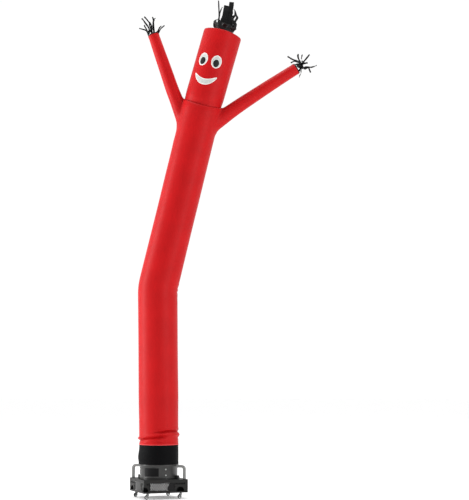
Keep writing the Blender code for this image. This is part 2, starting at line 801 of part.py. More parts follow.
def make_sign(parent):
    """Bare curved plate where the maker's sign is, facing the front corner."""
    half = SIGN_WIDTH / 2 / DUCT_RADIUS
    steps = 8
    low = SIGN_MIDDLE - SIGN_HEIGHT / 2
    top = SIGN_MIDDLE + SIGN_HEIGHT / 2
    sections = []
    for i in range(steps + 1):
        turn = 225 + DUCT_TURN + math.degrees(half) * (2 * i / steps - 1)
        near = DUCT_RADIUS + GAP
        far = near + 0.0012
        sections.append([radial(turn, near, low), radial(turn, near, top), radial(turn, far, top),
                         radial(turn, far, low)])
    loft("sign_plate", sections, BLACK_METAL, parent, caps=True)


def make_bolts(parent):
    """Round-headed bolts in pairs, each pair near the middle of a housing face."""
    for i in range(4):
        turn = 90 * i + DUCT_TURN
        for k, level in enumerate(BOLT_LEVELS):
            name = f"duct_bolt_{2 * i + k + 1}"
            rod(name, BOLT_RADIUS, radial(turn, DUCT_RADIUS + GAP, level),
                radial(turn, DUCT_RADIUS + BOLT_HEIGHT, level), ZINC, parent, 12, 0.7)


def handle_sections(turn):
    """Square sections of a handle: up from the housing, round a bend, in to the duct."""
    bend = HANDLE_BEND
    course = [(HANDLE_REACH, HOUSING_TOP + GAP, 0)]
    for i in range(5):
        angle = math.pi / 2 * i / 4
        course.append((HANDLE_REACH - bend * (1 - math.cos(angle)),
                       HANDLE_TOP - bend * (1 - math.sin(angle)), angle))
    course.append((FLANGE_RADIUS + 0.002, HANDLE_TOP, math.pi / 2))
    half = HANDLE_SIDE / 2
    aside = radial(turn + 90, half, 0)
    sections = []
    for reach, height, angle in course:
        middle = radial(turn, reach, height)
        outer = radial(turn, half * math.cos(angle), half * math.sin(angle))
        sections.append([middle - outer - aside, middle + outer - aside, middle + outer + aside,
                         middle - outer + aside])
    return sections


def make_handles(parent):
    for side, turn in (("right", 315), ("left", 135)):
        handle = loft(f"handle_{side}", handle_sections(turn), GREY_METAL, parent, caps=True)
        edge = handle.modifiers.new("edge", "BEVEL")
        edge.width = 0.003
        edge.segments = 1
        edge.limit_method = "ANGLE"
        edge.angle_limit = math.radians(50)
        foot = block(f"duct_block_{side}", BLOCK_SIZE, (0, 0, 0), GREY_METAL, parent)
        foot.rotation_euler.z = math.radians(turn)
        foot.location = radial(turn, DUCT_RADIUS + BLOCK_CLEAR + BLOCK_SIZE[0] / 2,
                               HOUSING_TOP + GAP + BLOCK_SIZE[2] / 2)


def fork_mesh():
    """Inverted U whose cheeks trail back from the swivel down to the axle."""
    height = FORK_TOP - (WHEEL_RADIUS - 0.006)
    bm = bmesh.new()
    bmesh.ops.create_cube(bm, size=1)
    bmesh.ops.scale(bm, vec=(FORK_WIDTH, FORK_LENGTH, height), verts=bm.verts)
    bmesh.ops.translate(bm, vec=(0, 0, FORK_TOP - height / 2), verts=bm.verts)
    for vert in bm.verts:
        if vert.co.z < FORK_TOP - height / 2:
            vert.co.y = vert.co.y * 0.5 + TRAIL
    return bm


def make_caster(name, turn, parent):
    """Swivel caster: its top plate, a fork that turns about Z and a wheel in the fork."""
    centre = radial(turn, CASTER_REACH, 0)
    swivel = bpy.data.objects.new(f"{name}_swivel", None)
    PARTS.objects.link(swivel)
    swivel.parent = parent
    swivel.location = centre
    swivel.rotation_euler.z = math.radians(CASTER_TURN - BLOWER_TURN)
    plate_top = HOUSING_LOW - GAP
    size = (PLATE_SIDE, PLATE_SIDE, PLATE_THICKNESS)
    block(f"{name}_plate", size, centre + Vector((0, 0, plate_top - PLATE_THICKNESS / 2)),
          ZINC, parent)
    plate_low = plate_top - PLATE_THICKNESS
    fork = add_mesh(f"{name}_fork", fork_mesh(), ZINC, swivel)
    inner = FORK_WIDTH - 2 * FORK_WALL
    room = block(f"{name}_room", (inner, 0.10, 0.06), (0, 0, FORK_TOP - FORK_WALL - 0.03), None,
                 swivel)
    combine(fork, make_cutter(room))
    race = rod(f"{name}_race", 0.013, (0, 0, FORK_TOP - 0.001), (0, 0, plate_low - GAP), None,
               swivel, 16)
    combine(fork, make_cutter(race), "UNION")
    half = FORK_WIDTH / 2 + 0.001
    axle = rod(f"{name}_axle", AXLE_RADIUS, (-half, TRAIL, WHEEL_RADIUS),
               (half, TRAIL, WHEEL_RADIUS), None, swivel, 12)
    combine(fork, make_cutter(axle), "UNION")
    bore = AXLE_RADIUS + GAP
    tread = WHEEL_WIDTH / 2
    wheel = turned(f"{name}_wheel", [(bore, tread), (WHEEL_RADIUS - 0.003, tread),
                                     (WHEEL_RADIUS, tread - 0.003), (WHEEL_RADIUS, 0.003 - tread),
                                     (WHEEL_RADIUS - 0.003, -tread), (bore, -tread)],
                   RUBBER, swivel, 20)
    wheel.location = (0, TRAIL, WHEEL_RADIUS)
    wheel.rotation_euler.y = math.pi / 2
    rod(f"{name}_nut", 0.010, centre + Vector((0, 0, HOUSING_LOW + SHEET + GAP)),
        centre + Vector((0, 0, HOUSING_LOW + SHEET + 0.010)), ZINC, parent, 6)


def make_blower():
    blower = bpy.data.objects.new("blower", None)
    PARTS.objects.link(blower)
    blower.location = (AXIS_X, 0, 0)
    blower.rotation_euler.z = math.radians(BLOWER_TURN)
    make_housing(blower)
    make_deflector(blower)
    make_duct(blower)
    make_sign(blower)
    make_bolts(blower)
    make_handles(blower)
    for name, turn in (("front", 225), ("right", 315), ("back", 45), ("left", 135)):
        make_caster(f"caster_{name}", turn, blower)


make_dancer()
make_blower()
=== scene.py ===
import json
import math
from collections import namedtuple

import bmesh
import bpy
import numpy as np
from mathutils import Matrix, Vector, noise


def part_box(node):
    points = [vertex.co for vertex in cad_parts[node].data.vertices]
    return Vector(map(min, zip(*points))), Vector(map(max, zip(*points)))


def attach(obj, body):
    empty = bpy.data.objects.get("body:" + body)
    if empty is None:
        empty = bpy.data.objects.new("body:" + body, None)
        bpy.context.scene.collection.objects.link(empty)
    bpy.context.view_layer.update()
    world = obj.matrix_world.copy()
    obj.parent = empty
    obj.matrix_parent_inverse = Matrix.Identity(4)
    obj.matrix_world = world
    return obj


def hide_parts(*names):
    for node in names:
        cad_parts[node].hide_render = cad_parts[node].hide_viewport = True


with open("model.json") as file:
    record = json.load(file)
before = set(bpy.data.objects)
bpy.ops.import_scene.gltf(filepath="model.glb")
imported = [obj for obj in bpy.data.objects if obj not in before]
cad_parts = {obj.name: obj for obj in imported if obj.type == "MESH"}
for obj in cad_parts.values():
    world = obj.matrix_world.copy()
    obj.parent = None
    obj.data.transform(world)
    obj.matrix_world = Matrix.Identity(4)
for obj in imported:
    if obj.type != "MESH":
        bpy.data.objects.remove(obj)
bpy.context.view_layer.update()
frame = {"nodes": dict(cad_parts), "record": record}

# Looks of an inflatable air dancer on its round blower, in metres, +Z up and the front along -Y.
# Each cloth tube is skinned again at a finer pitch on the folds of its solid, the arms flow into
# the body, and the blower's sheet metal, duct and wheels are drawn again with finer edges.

# Sizes that the frame gives
DUCT_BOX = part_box("duct")
HOUSING_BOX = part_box("housing")
AXIS_X = (DUCT_BOX[0].x + DUCT_BOX[1].x) / 2
SLEEVE_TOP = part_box("sleeve")[1].z
DUCT_TOP = DUCT_BOX[1].z
HOUSING_LOW = HOUSING_BOX[0].z
HOUSING_TOP = HOUSING_BOX[1].z

# Dancer: lengths run along its axis from the sleeve's top, leans are in degrees
GAP = 0.0003
CLOTH = 0.0012
SIDES = 128
TUBE_RADIUS = 0.2285
BODY_LENGTH = 4.108
BEND_START = 1.74
BEND_END = 1.93
LEAN_LOW = -0.7
LEAN_HIGH = 13.49
NECK_LEAN = 14.5
NECK_DIP = 0.054
NECK_PINCH = 0.012
NECK_REACH = 0.07
NECK_HOLD = 0.010
HEAD_LENGTH = 0.870
HEAD_LEAN = 15.6
HEAD_RADIUS = 0.230
CAP_RISE = 0.030
VENT_RADIUS = 0.108
ARM_SIDES = 72
ARM_BLEND = 0.050
ARM_SEEDS = {"left": 3.0, "right": 9.0}
HEM = 0.018
SEAM_TURN = 93.0
SLEEVE_RADIUS = 0.2302
SLEEVE_CLOTH = 0.0015

# Face, measured down from the head's rim and round from its middle
FACE_TURN = -12.0
EYE_AROUND = 21.4
EYE_DOWN = 0.389
EYE_WIDTH = 0.123
EYE_HEIGHT = 0.156
PUPIL_DROP = 0.019
PUPIL_WIDTH = 0.071
PUPIL_HEIGHT = 0.091
MOUTH_HALF_WIDTH = 0.145
MOUTH_MIDDLE = 0.654
MOUTH_RISE = 0.083
MOUTH_HALF_HEIGHT = 0.036
PATCH = 0.0010
PATCH_ROUND = 0.0022
PATCH_RIDGE = 0.0009
BORDER = 0.008

BACK = Vector((0, 1, 0))

# Arms: places of their axes, with the tube's radius there
Arm = namedtuple("Arm", "x z radius")
ARMS = {
    "left": (
        Arm(-0.436, 4.290, 0.088),
        Arm(-0.478, 4.412, 0.087),
        Arm(-0.525, 4.545, 0.084),
        Arm(-0.580, 4.703, 0.081),
        Arm(-0.639, 4.856, 0.078),
        Arm(-0.752, 5.184, 0.072),
        Arm(-0.859, 5.495, 0.0665),
    ),
    "right": (
        Arm(-0.351, 4.262, 0.095),
        Arm(-0.210, 4.356, 0.094),
        Arm(-0.075, 4.456, 0.091),
        Arm(0.052, 4.550, 0.085),
        Arm(0.220, 4.668, 0.080),
        Arm(0.520, 4.868, 0.073),
        Arm(0.851, 5.081, 0.0665),
    ),
}

# Troughs and ridges above the sleeve: each runs round as a soft, slanting line
Fold = namedtuple("Fold", "height rise arch depth width middle reach")
FOOT_FOLDS = (
    Fold(0.078, 0.031, 0.002, -0.024, 0.011, 234, 64),
    Fold(0.101, 0.031, 0.002, 0.011, 0.014, 226, 66),
    Fold(0.056, 0.026, 0.000, 0.009, 0.009, 262, 44),
    Fold(0.072, 0.010, 0.000, 0.010, 0.012, 186, 34),
    Fold(0.163, 0.003, 0.014, -0.023, 0.011, 318, 52),
    Fold(0.185, 0.003, 0.014, 0.006, 0.014, 318, 50),
    Fold(0.118, -0.004, 0.010, 0.015, 0.020, 346, 48),
    Fold(0.132, 0.010, 0.004, 0.007, 0.009, 288, 30),
    Fold(0.118, -0.020, 0.006, -0.018, 0.010, 80, 72),
    Fold(0.140, -0.020, 0.006, 0.008, 0.014, 78, 68),
    Fold(0.050, 0.019, 0.000, -0.007, 0.006, 250, 30),
    Fold(0.034, -0.012, 0.000, -0.005, 0.007, 300, 40),
    Fold(0.040, 0.014, 0.000, -0.006, 0.008, 196, 30),
    Fold(0.060, -0.022, 0.000, -0.006, 0.008, 30, 40),
)
FOLDS_END = 0.28

# Small pleats at the seams, which fade over their reach
Pleats = namedtuple("Pleats", "count depth reach seed")
FOOT_PLEATS = Pleats(46, 0.0016, 0.022, 0.0)
NECK_PLEATS = Pleats(40, 0.0016, 0.026, 2.0)
HEAD_PLEATS = Pleats(40, 0.0016, 0.028, 7.0)
RIM_PLEATS = Pleats(52, 0.0009, 0.014, 8.0)
CAP_PLEATS = Pleats(52, 0.0014, 0.030, 8.0)
ARM_PLEATS = Pleats(15, 0.0022, 0.030, 0.0)
SLEEVE_FOOT_PLEATS = Pleats(44, 0.0012, 0.050, 12.0)
SLEEVE_TOP_PLEATS = Pleats(46, 0.0012, 0.030, 0.0)


def fill(tree, node, inputs):
    """Give a node's sockets their values or links."""
    for name, value in inputs.items():
        socket = node.inputs[name]
        if isinstance(value, bpy.types.NodeSocket):
            tree.links.new(value, socket)
        else:
            socket.default_value = value


def add_node(tree, kind, inputs=None, **settings):
    """Add a shader node, with values or links on its sockets."""
    made = tree.nodes.new(kind)
    for name, value in settings.items():
        setattr(made, name, value)
    fill(tree, made, inputs or {})
    return made


def calc(tree, operation, *values):
    return add_node(tree, "ShaderNodeMath", dict(enumerate(values)), operation=operation).outputs[0]


def spread(tree, value, low, high, out_low, out_high):
    """Map one range on to another, clamped."""
    inputs = {"Value": value, "From Min": low, "From Max": high, "To Min": out_low,
              "To Max": out_high}
    return add_node(tree, "ShaderNodeMapRange", inputs).outputs[0]


def mix(tree, factor, first, second):
    """Mix two colours; the node's colour sockets are its sixth and seventh."""
    inputs = {0: factor, 6: first, 7: second}
    return add_node(tree, "ShaderNodeMix", inputs, data_type="RGBA").outputs[2]


def noise_of(tree, place, scale, detail=2.0, roughness=0.5):
    inputs = {"Vector": place, "Scale": scale, "Detail": detail, "Roughness": roughness}
    return add_node(tree, "ShaderNodeTexNoise", inputs).outputs[0]


def bump(tree, height, strength, distance, **below):
    """Normal lifted by a height, over the one below it."""
    inputs = {"Height": height, "Strength": strength, "Distance": distance, **below}
    return add_node(tree, "ShaderNodeBump", inputs).outputs[0]


def share_of(tree, name):
    """Value that each point of the mesh holds under a name."""
    return add_node(tree, "ShaderNodeAttribute", attribute_name=name).outputs["Fac"]


def tint(colour, by=1.0):
    return tuple(min(1.0, part * by) for part in colour) + (1.0,)


def mottled(tree, pattern, colour, darker, lighter, low=0.3):
    """Colour that drifts from a darker to a lighter shade with a pattern."""
    share = spread(tree, pattern, low, 0.7, 0.0, 1.0)
    return mix(tree, share, tint(colour, darker), tint(colour, lighter))


def sheen(tree, pattern, roughness, less, more):
    """Roughness that drifts with a pattern."""
    return spread(tree, pattern, 0.3, 0.7, roughness - less, roughness + more)


def shader_of(name):
    """New material and its shader."""
    material = bpy.data.materials.new(name)
    material.use_nodes = True
    tree = material.node_tree
    return material, tree, tree.nodes["Principled BSDF"]


def object_place(tree):
    return add_node(tree, "ShaderNodeTexCoord").outputs["Object"]


def woven(name, colour, roughness, weave, specular):
    """Ripstop cloth: a fine plain weave, thicker threads in a grid, and soft handling marks.

    The map named cloth holds metres round and along the tube. Where points hold hem, a paler mix is a
    painted highlight of the rolled hem.
    """
    material, tree, shader = shader_of(name)
    flat = add_node(tree, "ShaderNodeUVMap", uv_map="cloth").outputs[0]
    parts = add_node(tree, "ShaderNodeSeparateXYZ", {"Vector": flat})
    thread = []
    grid = []
    for way in ("X", "Y"):
        place = parts.outputs[way]
        thread.append(calc(tree, "SINE", calc(tree, "MULTIPLY", place, 2 * math.pi / weave)))
        line = calc(tree, "PINGPONG", place, 0.0035)
        grid.append(spread(tree, line, 0.0, 0.0006, 1.0, 0.0))
    lines = calc(tree, "MAXIMUM", grid[0], grid[1])
    place = object_place(tree)
    marks = noise_of(tree, place, 5.0, 3.0)
    creases = noise_of(tree, place, 26.0, 4.0, 0.6)
    colours = mottled(tree, marks, colour, 0.94, 1.05)
    colours = mix(tree, calc(tree, "MULTIPLY", lines, 0.25), colours, tint(colour, 0.72))
    # Paler colour on the hem band: a painted highlight where the rolled hem catches light.
    hem_highlight = tuple(part * 1.35 + 0.055 for part in colour) + (1.0,)
    weave_height = calc(tree, "MULTIPLY", thread[0], thread[1])
    fine = calc(tree, "ADD", calc(tree, "MULTIPLY", weave_height, 0.3), lines)
    threads = bump(tree, fine, 0.22, 0.0003)
    fill(tree, shader, {
        "Base Color": mix(tree, share_of(tree, "hem"), colours, hem_highlight),
        "Roughness": sheen(tree, creases, roughness, 0.05, 0.06),
        "Specular IOR Level": specular,
        "Normal": bump(tree, creases, 0.16, 0.006, Normal=threads)})
    return material


def patch_cloth(name, colour, border_colour, roughness, specular):
    """Smooth applied cloth with a paler satin border, whose share each point holds."""
    material, tree, shader = shader_of(name)
    place = object_place(tree)
    face = mottled(tree, noise_of(tree, place, 14.0, 3.0), colour, 0.93, 1.05)
    sharp = spread(tree, share_of(tree, "border"), 0.35, 0.65, 0.0, 1.0)
    threads = noise_of(tree, place, 900.0, 1.0)
    fill(tree, shader, {
        "Base Color": mix(tree, sharp, face, tint(border_colour)),
        "Roughness": sheen(tree, threads, roughness, 0.07, 0.07),
        "Specular IOR Level": specular,
        "Normal": bump(tree, threads, 0.12, 0.0004)})
    return material


def coated(name, colour, roughness, grain=900.0, metallic=0.0, specular=0.5):
    """Powder coat: a fine orange peel, faint dust and a little uneven sheen."""
    material, tree, shader = shader_of(name)
    place = object_place(tree)
    dust = noise_of(tree, place, 11.0, 4.0, 0.6)
    fill(tree, shader, {
        "Base Color": mottled(tree, dust, colour, 0.90, 1.12, low=0.35),
        "Roughness": sheen(tree, dust, roughness, 0.05, 0.08),
        "Metallic": metallic,
        "Specular IOR Level": specular,
        "Normal": bump(tree, noise_of(tree, place, grain), 0.15, 0.0004)})
    return material


def plated(name, colour, roughness):
    """Zinc plate: faint patches of unlike brightness and fine scratches."""
    material, tree, shader = shader_of(name)
    place = object_place(tree)
    stretched = add_node(tree, "ShaderNodeMapping", {"Vector": place, "Scale": (300, 300, 40)})
    scratches = noise_of(tree, stretched.outputs[0], 3.0)
    fill(tree, shader, {
        "Base Color": mottled(tree, noise_of(tree, place, 60.0, 3.0), colour, 0.82, 1.08),
        "Roughness": sheen(tree, scratches, roughness, 0.06, 0.12),
        "Metallic": 1.0,
        "Normal": bump(tree, scratches, 0.08, 0.0003)})
    return material


RED = woven("red_nylon", (0.440, 0.0048, 0.0062), 0.47, 0.0012, 0.11)
BLACK_CLOTH = woven("black_nylon", (0.0022, 0.0022, 0.0026), 0.60, 0.0014, 0.05)
STREAMER = woven("streamer", (0.0050, 0.0050, 0.0056), 0.34, 0.0010, 0.20)
PALE = patch_cloth("pale_print", (0.50, 0.52, 0.50), (0.80, 0.79, 0.76), 0.55, 0.2)
PUPIL = patch_cloth("black_print", (0.0035, 0.0040, 0.0040), (0.0035, 0.0040, 0.0040), 0.38, 0.35)
GREY_METAL = coated("grey_metal", (0.0135, 0.0135, 0.0130), 0.42, specular=0.14)
DUCT_METAL = coated("duct_metal", (0.028, 0.028, 0.027), 0.33, metallic=0.3, specular=0.45)
# Handles: lighter than the housing, partly a paler coat and partly painted light in place of a low
# lamp at the left front.
HANDLE_PAINT_AND_LIGHT = coated("handle_paint_and_light", (0.200, 0.202, 0.198), 0.36, specular=0.45)
PLATE_METAL = coated("plate_metal", (0.050, 0.050, 0.049), 0.40, specular=0.25)
BOLT_METAL = coated("bolt_metal", (0.30, 0.31, 0.30), 0.34, metallic=0.5)
FORK_METAL = coated("fork_metal", (0.16, 0.16, 0.16), 0.32, metallic=0.6)
# Pale sheet colour: painted light, the backdrop seen through the mesh.
PAINTED_BACKDROP_LIGHT = coated("painted_backdrop_light", (0.52, 0.52, 0.52), 0.45, specular=0.3)
BLACK_METAL = coated("black_metal", (0.007, 0.007, 0.008), 0.45, specular=0.25)
SIGN = coated("sign_face", (0.0022, 0.0022, 0.0026), 0.42, grain=300.0, specular=0.12)
ZINC = plated("zinc", (0.62, 0.64, 0.63), 0.27)
RUBBER = coated("wheel_rubber", (0.009, 0.009, 0.010), 0.60, grain=500.0, specular=0.2)
YELLOW = coated("yellow_cap", (0.80, 0.50, 0.03), 0.38, grain=600.0)


def link_object(name, data):
    item = bpy.data.objects.new(name, data)
    bpy.context.scene.collection.objects.link(item)
    return item


def add_piece(name, bm, material, nodes=(), body="root", sharp=40):
    """Make a piece of a bmesh: its material, its body and the nodes it stands for."""
    mesh = bpy.data.meshes.new(name)
    bm.to_mesh(mesh)
    bm.free()
    mesh.shade_smooth()
    mesh.set_sharp_from_angle(angle=math.radians(sharp))
    mesh.materials.append(material)
    item = link_object(name, mesh)
    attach(item, body)
    if nodes:
        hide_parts(*nodes)
    return item


def solidify(item, thickness):
    """Thicken a piece inwards."""
    layer = item.modifiers.new("thickness", "SOLIDIFY")
    layer.thickness = thickness
    layer.offset = -1


def smooth(value, low, high):
    """Rise from 0 to 1 between two values, flat at both."""
    part = min(max((value - low) / (high - low), 0), 1)
    return part * part * (3 - 2 * part)


def hump(off, width):
    """Smooth hump: 1 at its middle and fading over a width."""
    return math.exp(-((off / width) ** 2))


def degrees_from(turn, middle):
    """Signed angle in degrees from a middle to a turn."""
    return (math.degrees(turn) - middle + 180) % 360 - 180


def round_noise(turn, fineness, level):
    """Noise round a tube."""
    return noise.noise(Vector((fineness * math.cos(turn), fineness * math.sin(turn), level)))


def upward(lean):
    """Direction of an axis that leans from upright towards +X, by radians."""
    return Vector((math.sin(lean), 0, math.cos(lean)))


def rightward(lean):
    """Direction across an axis that leans."""
    return Vector((math.cos(lean), 0, -math.sin(lean)))


def rows_of(*stretches):
    """Places along a tube: each stretch is (start, end, step), and the last end is kept."""
    places = []
    for start, end, step in stretches:
        count = max(1, round((end - start) / step))
        places += [start + (end - start) * i / count for i in range(count)]
    return places + [stretches[-1][1]]


def through(points, steps):
    """Smooth course through a few points."""
    course = [points[0] * 2 - points[1]] + points + [points[-1] * 2 - points[-2]]
    made = []
    for i in range(1, len(course) - 2):
        a, b, c, d = course[i - 1:i + 3]
        for k in range(steps):
            t = k / steps
            made.append(0.5 * (2 * b + (c - a) * t + (2 * a - 5 * b + 4 * c - d) * t * t
                               + (3 * b - 3 * c + d - a) * t ** 3))
    return made + [points[-1]]


def ring(centre, lean, radius, sides, dip=0.0, dent=None):
    """Section square to a path that leans from upright towards +X, by radians.

    Points run from the right-hand side over the back; dip lowers the front and lifts the back.
    """
    points = []
    for i in range(sides):
        turn = 2 * math.pi * i / sides
        reach = radius + (dent(turn) if dent else 0)
        across = math.cos(turn) * rightward(lean) + math.sin(turn) * BACK
        points.append(centre + reach * across + dip * math.sin(turn) * upward(lean))
    return points


def bridge(bm, low, high):
    """Faces between two closed rings of points."""
    count = len(low)
    return [bm.faces.new((low[i], low[(i + 1) % count], high[(i + 1) % count], high[i]))
            for i in range(count)]


def skin(sections, places, highlight_hems=()):
    """Bmesh through rings of points; its map holds metres round and along.

    Places within the given hem stretches are marked for a paler colour on the doubled edge, a painted
    highlight where the rolled hem catches light.
    """
    bm = bmesh.new()
    cloth = bm.loops.layers.uv.new("cloth")
    edge = bm.verts.layers.float.new("hem")
    rings = [[bm.verts.new(point) for point in section] for section in sections]
    for row, place in zip(rings, places):
        if any(low <= place <= high for low, high in highlight_hems):
            for vert in row:
                vert[edge] = 1.0
    count = len(rings[0])
    around = [0.0]
    middle = sections[len(sections) // 2]
    for i in range(count):
        around.append(around[-1] + (middle[(i + 1) % count] - middle[i]).length)
    for row in range(len(rings) - 1):
        for i, face in enumerate(bridge(bm, rings[row], rings[row + 1])):
            marks = ((i, row), (i + 1, row), (i + 1, row + 1), (i, row + 1))
            for loop, (column, level) in zip(face.loops, marks):
                loop[cloth].uv = (around[column], places[level])
    return bm


def body_lean(along):
    return math.radians(LEAN_LOW + (LEAN_HIGH - LEAN_LOW) * smooth(along, BEND_START, BEND_END))


def walk_body(places):
    """Centres of the body's axis at rising places along it, from the sleeve up."""
    centre = Vector((AXIS_X, 0, SLEEVE_TOP + GAP))
    centres = []
    at = 0.0
    for place in places:
        steps = max(1, round(abs(place - at) / 0.02))
        for i in range(steps):
            lean = body_lean(at + (i + 0.5) * (place - at) / steps)
            centre = centre + (place - at) / steps * upward(lean)
        at = place
        centres.append(centre)
    return centres


NECK = walk_body([BODY_LENGTH])[0]


def wander(along, turn, amount, stretch=1.3, seed=0.0):
    """Soft unevenness of filled cloth."""
    place = Vector((2.0 * math.cos(turn) + seed, 2.0 * math.sin(turn), stretch * along))
    return amount * noise.noise(place)


def gathers(turn, distance, pleats):
    """Small pleats that run away from a seam and fade."""
    fade = math.exp(-distance / pleats.reach)
    if fade < 0.02:
        return 0.0
    uneven = 0.6 + 0.8 * round_noise(turn, 3, pleats.seed)
    shift = 1.7 * round_noise(turn, 1, pleats.seed + 5)
    return pleats.depth * fade * uneven * math.cos(pleats.count * turn + 3 * shift)


def seam_lift(turn, radius, height, width=0.005):
    """Ridge of the seam along a tube's back."""
    return height * hump(math.radians(degrees_from(turn, SEAM_TURN)) * radius, width)


def fold_lift(fold, along, turn):
    """Lift of the cloth by one fold above the sleeve."""
    around = degrees_from(turn, fold.middle)
    share = around / fold.reach
    level = fold.height + fold.rise * share - fold.arch * share * share
    level += 0.006 * noise.noise(Vector((around / 14, fold.height * 40, 0)))
    return fold.depth * math.exp(-(share ** 4)) * hump(along - level, fold.width)


def body_dent(along):
    """Everything that lifts or sinks the body's cloth at one place along it."""
    folds = FOOT_FOLDS if along < FOLDS_END else ()
    to_top = BODY_LENGTH - along
    from_bend = (along - (BEND_START + BEND_END) / 2) / 0.10
    fuller = 0.0040 * smooth(along, 0.25, 0.6)
    foot_hem = 0.0025 * hump(along - 0.005, 0.006)
    shoulders = 0.004 * smooth(along, BODY_LENGTH - 0.20, BODY_LENGTH - 0.06)
    at_seam = max(0, 1 - to_top / 0.024) ** 2
    near_neck = smooth(along, BODY_LENGTH - NECK_REACH, BODY_LENGTH)

    def dent(turn):
        total = fuller + wander(along, turn, 0.0022) * smooth(along, 0, 0.1)
        total += foot_hem
        total += shoulders
        total -= (0.004 + 0.009 * math.sin(turn) ** 2) * at_seam
        total += NECK_PINCH * math.cos(turn) ** 2 * near_neck
        for fold in folds:
            total += fold_lift(fold, along, turn)
        total += gathers(turn, along, FOOT_PLEATS)
        total += gathers(turn, to_top, NECK_PLEATS)
        total += seam_lift(turn, TUBE_RADIUS, 0.0018)
        inside = hump(math.radians(degrees_from(turn, 0)), 0.8)
        ripple = hump(from_bend, 1) * math.cos(2 * math.pi * from_bend / 0.9)
        return total + 0.0030 * inside * ripple

    return dent


def body_shape(along):
    """Lean, radius and dip of the body's section at a place along it."""
    near_neck = smooth(along, BODY_LENGTH - NECK_REACH, BODY_LENGTH)
    leaning = smooth(along, BODY_LENGTH - 0.9, BODY_LENGTH)
    lean = body_lean(along) + math.radians(NECK_LEAN - LEAN_HIGH) * near_neck
    lean *= smooth(along, 0, 0.04)
    return lean, TUBE_RADIUS - NECK_PINCH * near_neck, NECK_DIP * leaning


def path_distance(points, path):
    """Distance from points to a path's surface; path has rows of x, z and radius."""
    start = path[:-1, :2]
    span = path[1:, :2] - start
    flat = points[:, [0, 2]]
    rise = flat[:, None, :] - start[None]
    share = np.clip((rise * span[None]).sum(2) / (span * span).sum(1)[None], 0, 1)
    off = rise - share[..., None] * span[None]
    away = np.sqrt((off * off).sum(2) + points[:, 1:2] ** 2)
    radius = path[:-1, 2][None] + share * (path[1:, 2] - path[:-1, 2])[None]
    distance = away - radius
    return distance[np.arange(len(points)), away.argmin(1)]


def body_path():
    """The body's axis as rows of x, z and radius, run on past the neck."""
    places = rows_of((2.9, BODY_LENGTH + 0.35, 0.04))
    rows = []
    for place, centre in zip(places, walk_body(places)):
        rows.append((centre.x, centre.z, body_shape(min(place, BODY_LENGTH))[1]))
    return np.array(rows)


def arm_path(rows):
    """Arm's axis as a smooth curve through its rows, run back into the body."""
    points = [np.array(row) for row in rows]
    return np.array([points[0] * 2 - points[1]] + through(points, 8))


BODY_PATH = body_path()
ARM_PATHS = {side: arm_path(rows) for side, rows in ARMS.items()}


def blended(first, second):
    """Surface that flows from one tube into the other."""
    near = np.maximum(ARM_BLEND - np.abs(first - second), 0) / ARM_BLEND
    return np.minimum(first, second) - near * near * ARM_BLEND / 4


def flow_together(bm, own_path, other_path, held_at=None):
    """Move the points near two tubes' meeting on to their blended surface, less so at an end."""
    verts = list(bm.verts)
    points = np.array([vert.co for vert in verts])
    near = np.where(np.abs(path_distance(points, other_path)) < 1.3 * ARM_BLEND)[0]
    if not len(near):
        return
    points = points[near]
    level = path_distance(points, own_path)

    def field(places):
        return blended(path_distance(places, own_path) - level, path_distance(places, other_path))

    small = 0.0005
    for _ in range(6):
        value = field(points)
        slope = np.zeros_like(points)
        for axis in range(3):
            shift = np.zeros(3)
            shift[axis] = small
            slope[:, axis] = (field(points + shift) - field(points - shift)) / (2 * small)
        size = np.maximum((slope * slope).sum(1), 0.2)
        points = points - (value / size)[:, None] * slope
    along = upward(math.radians(NECK_LEAN))
    for index, place in zip(near, points):
        place = Vector(place)
        share = 1.0
        if held_at:
            share = smooth((held_at - verts[index].co).dot(along), NECK_HOLD, 2 * NECK_HOLD)
        verts[index].co += share * (place - verts[index].co)


def cut_away(bm, path):
    """Remove what lies inside a tube, along a clean line."""
    points = np.array([vert.co for vert in bm.verts])
    value = {vert: (0.0 if abs(f) < 0.0006 else float(f))
             for vert, f in zip(bm.verts, path_distance(points, path))}
    for edge in list(bm.edges):
        first, second = edge.verts
        if value[first] * value[second] < 0:
            share = value[first] / (value[first] - value[second])
            made = bmesh.utils.edge_split(edge, first, share)[1]
            value[made] = 0.0
    for face in list(bm.faces):
        marks = [vert for vert in face.verts if value[vert] == 0.0]
        levels = [value[vert] for vert in face.verts]
        if len(marks) == 2 and min(levels) < 0 < max(levels):
            bmesh.utils.face_split(face, marks[0], marks[1])
    gone = [face for face in bm.faces if min(value[vert] for vert in face.verts) < 0]
    bmesh.ops.delete(bm, geom=gone, context="FACES")


def make_body():
    places = rows_of((0, 0.012, 0.003), (0.012, 0.216, 0.0038), (0.216, 1.58, 0.033),
                     (1.58, 2.10, 0.018), (2.10, 3.44, 0.034), (3.44, 4.02, 0.0095),
                     (4.02, BODY_LENGTH - 0.03, 0.006),
                     (BODY_LENGTH - 0.03, BODY_LENGTH, 0.0025))
    sections = []
    for along, centre in zip(places, walk_body(places)):
        lean, radius, dip = body_shape(along)
        sections.append(ring(centre, lean, radius, SIDES, dip, body_dent(along)))
    # The foot's hem stretch gets the painted highlight of the red cloth.
    bm = skin(sections, places, [(0, 0.009)])
    for path in ARM_PATHS.values():
        cut_away(bm, path)
    for path in ARM_PATHS.values():
        flow_together(bm, BODY_PATH, path, NECK)
    body = add_piece("body_cloth", bm, RED, ["leg_tube", "body_tube"])
    solidify(body, CLOTH)


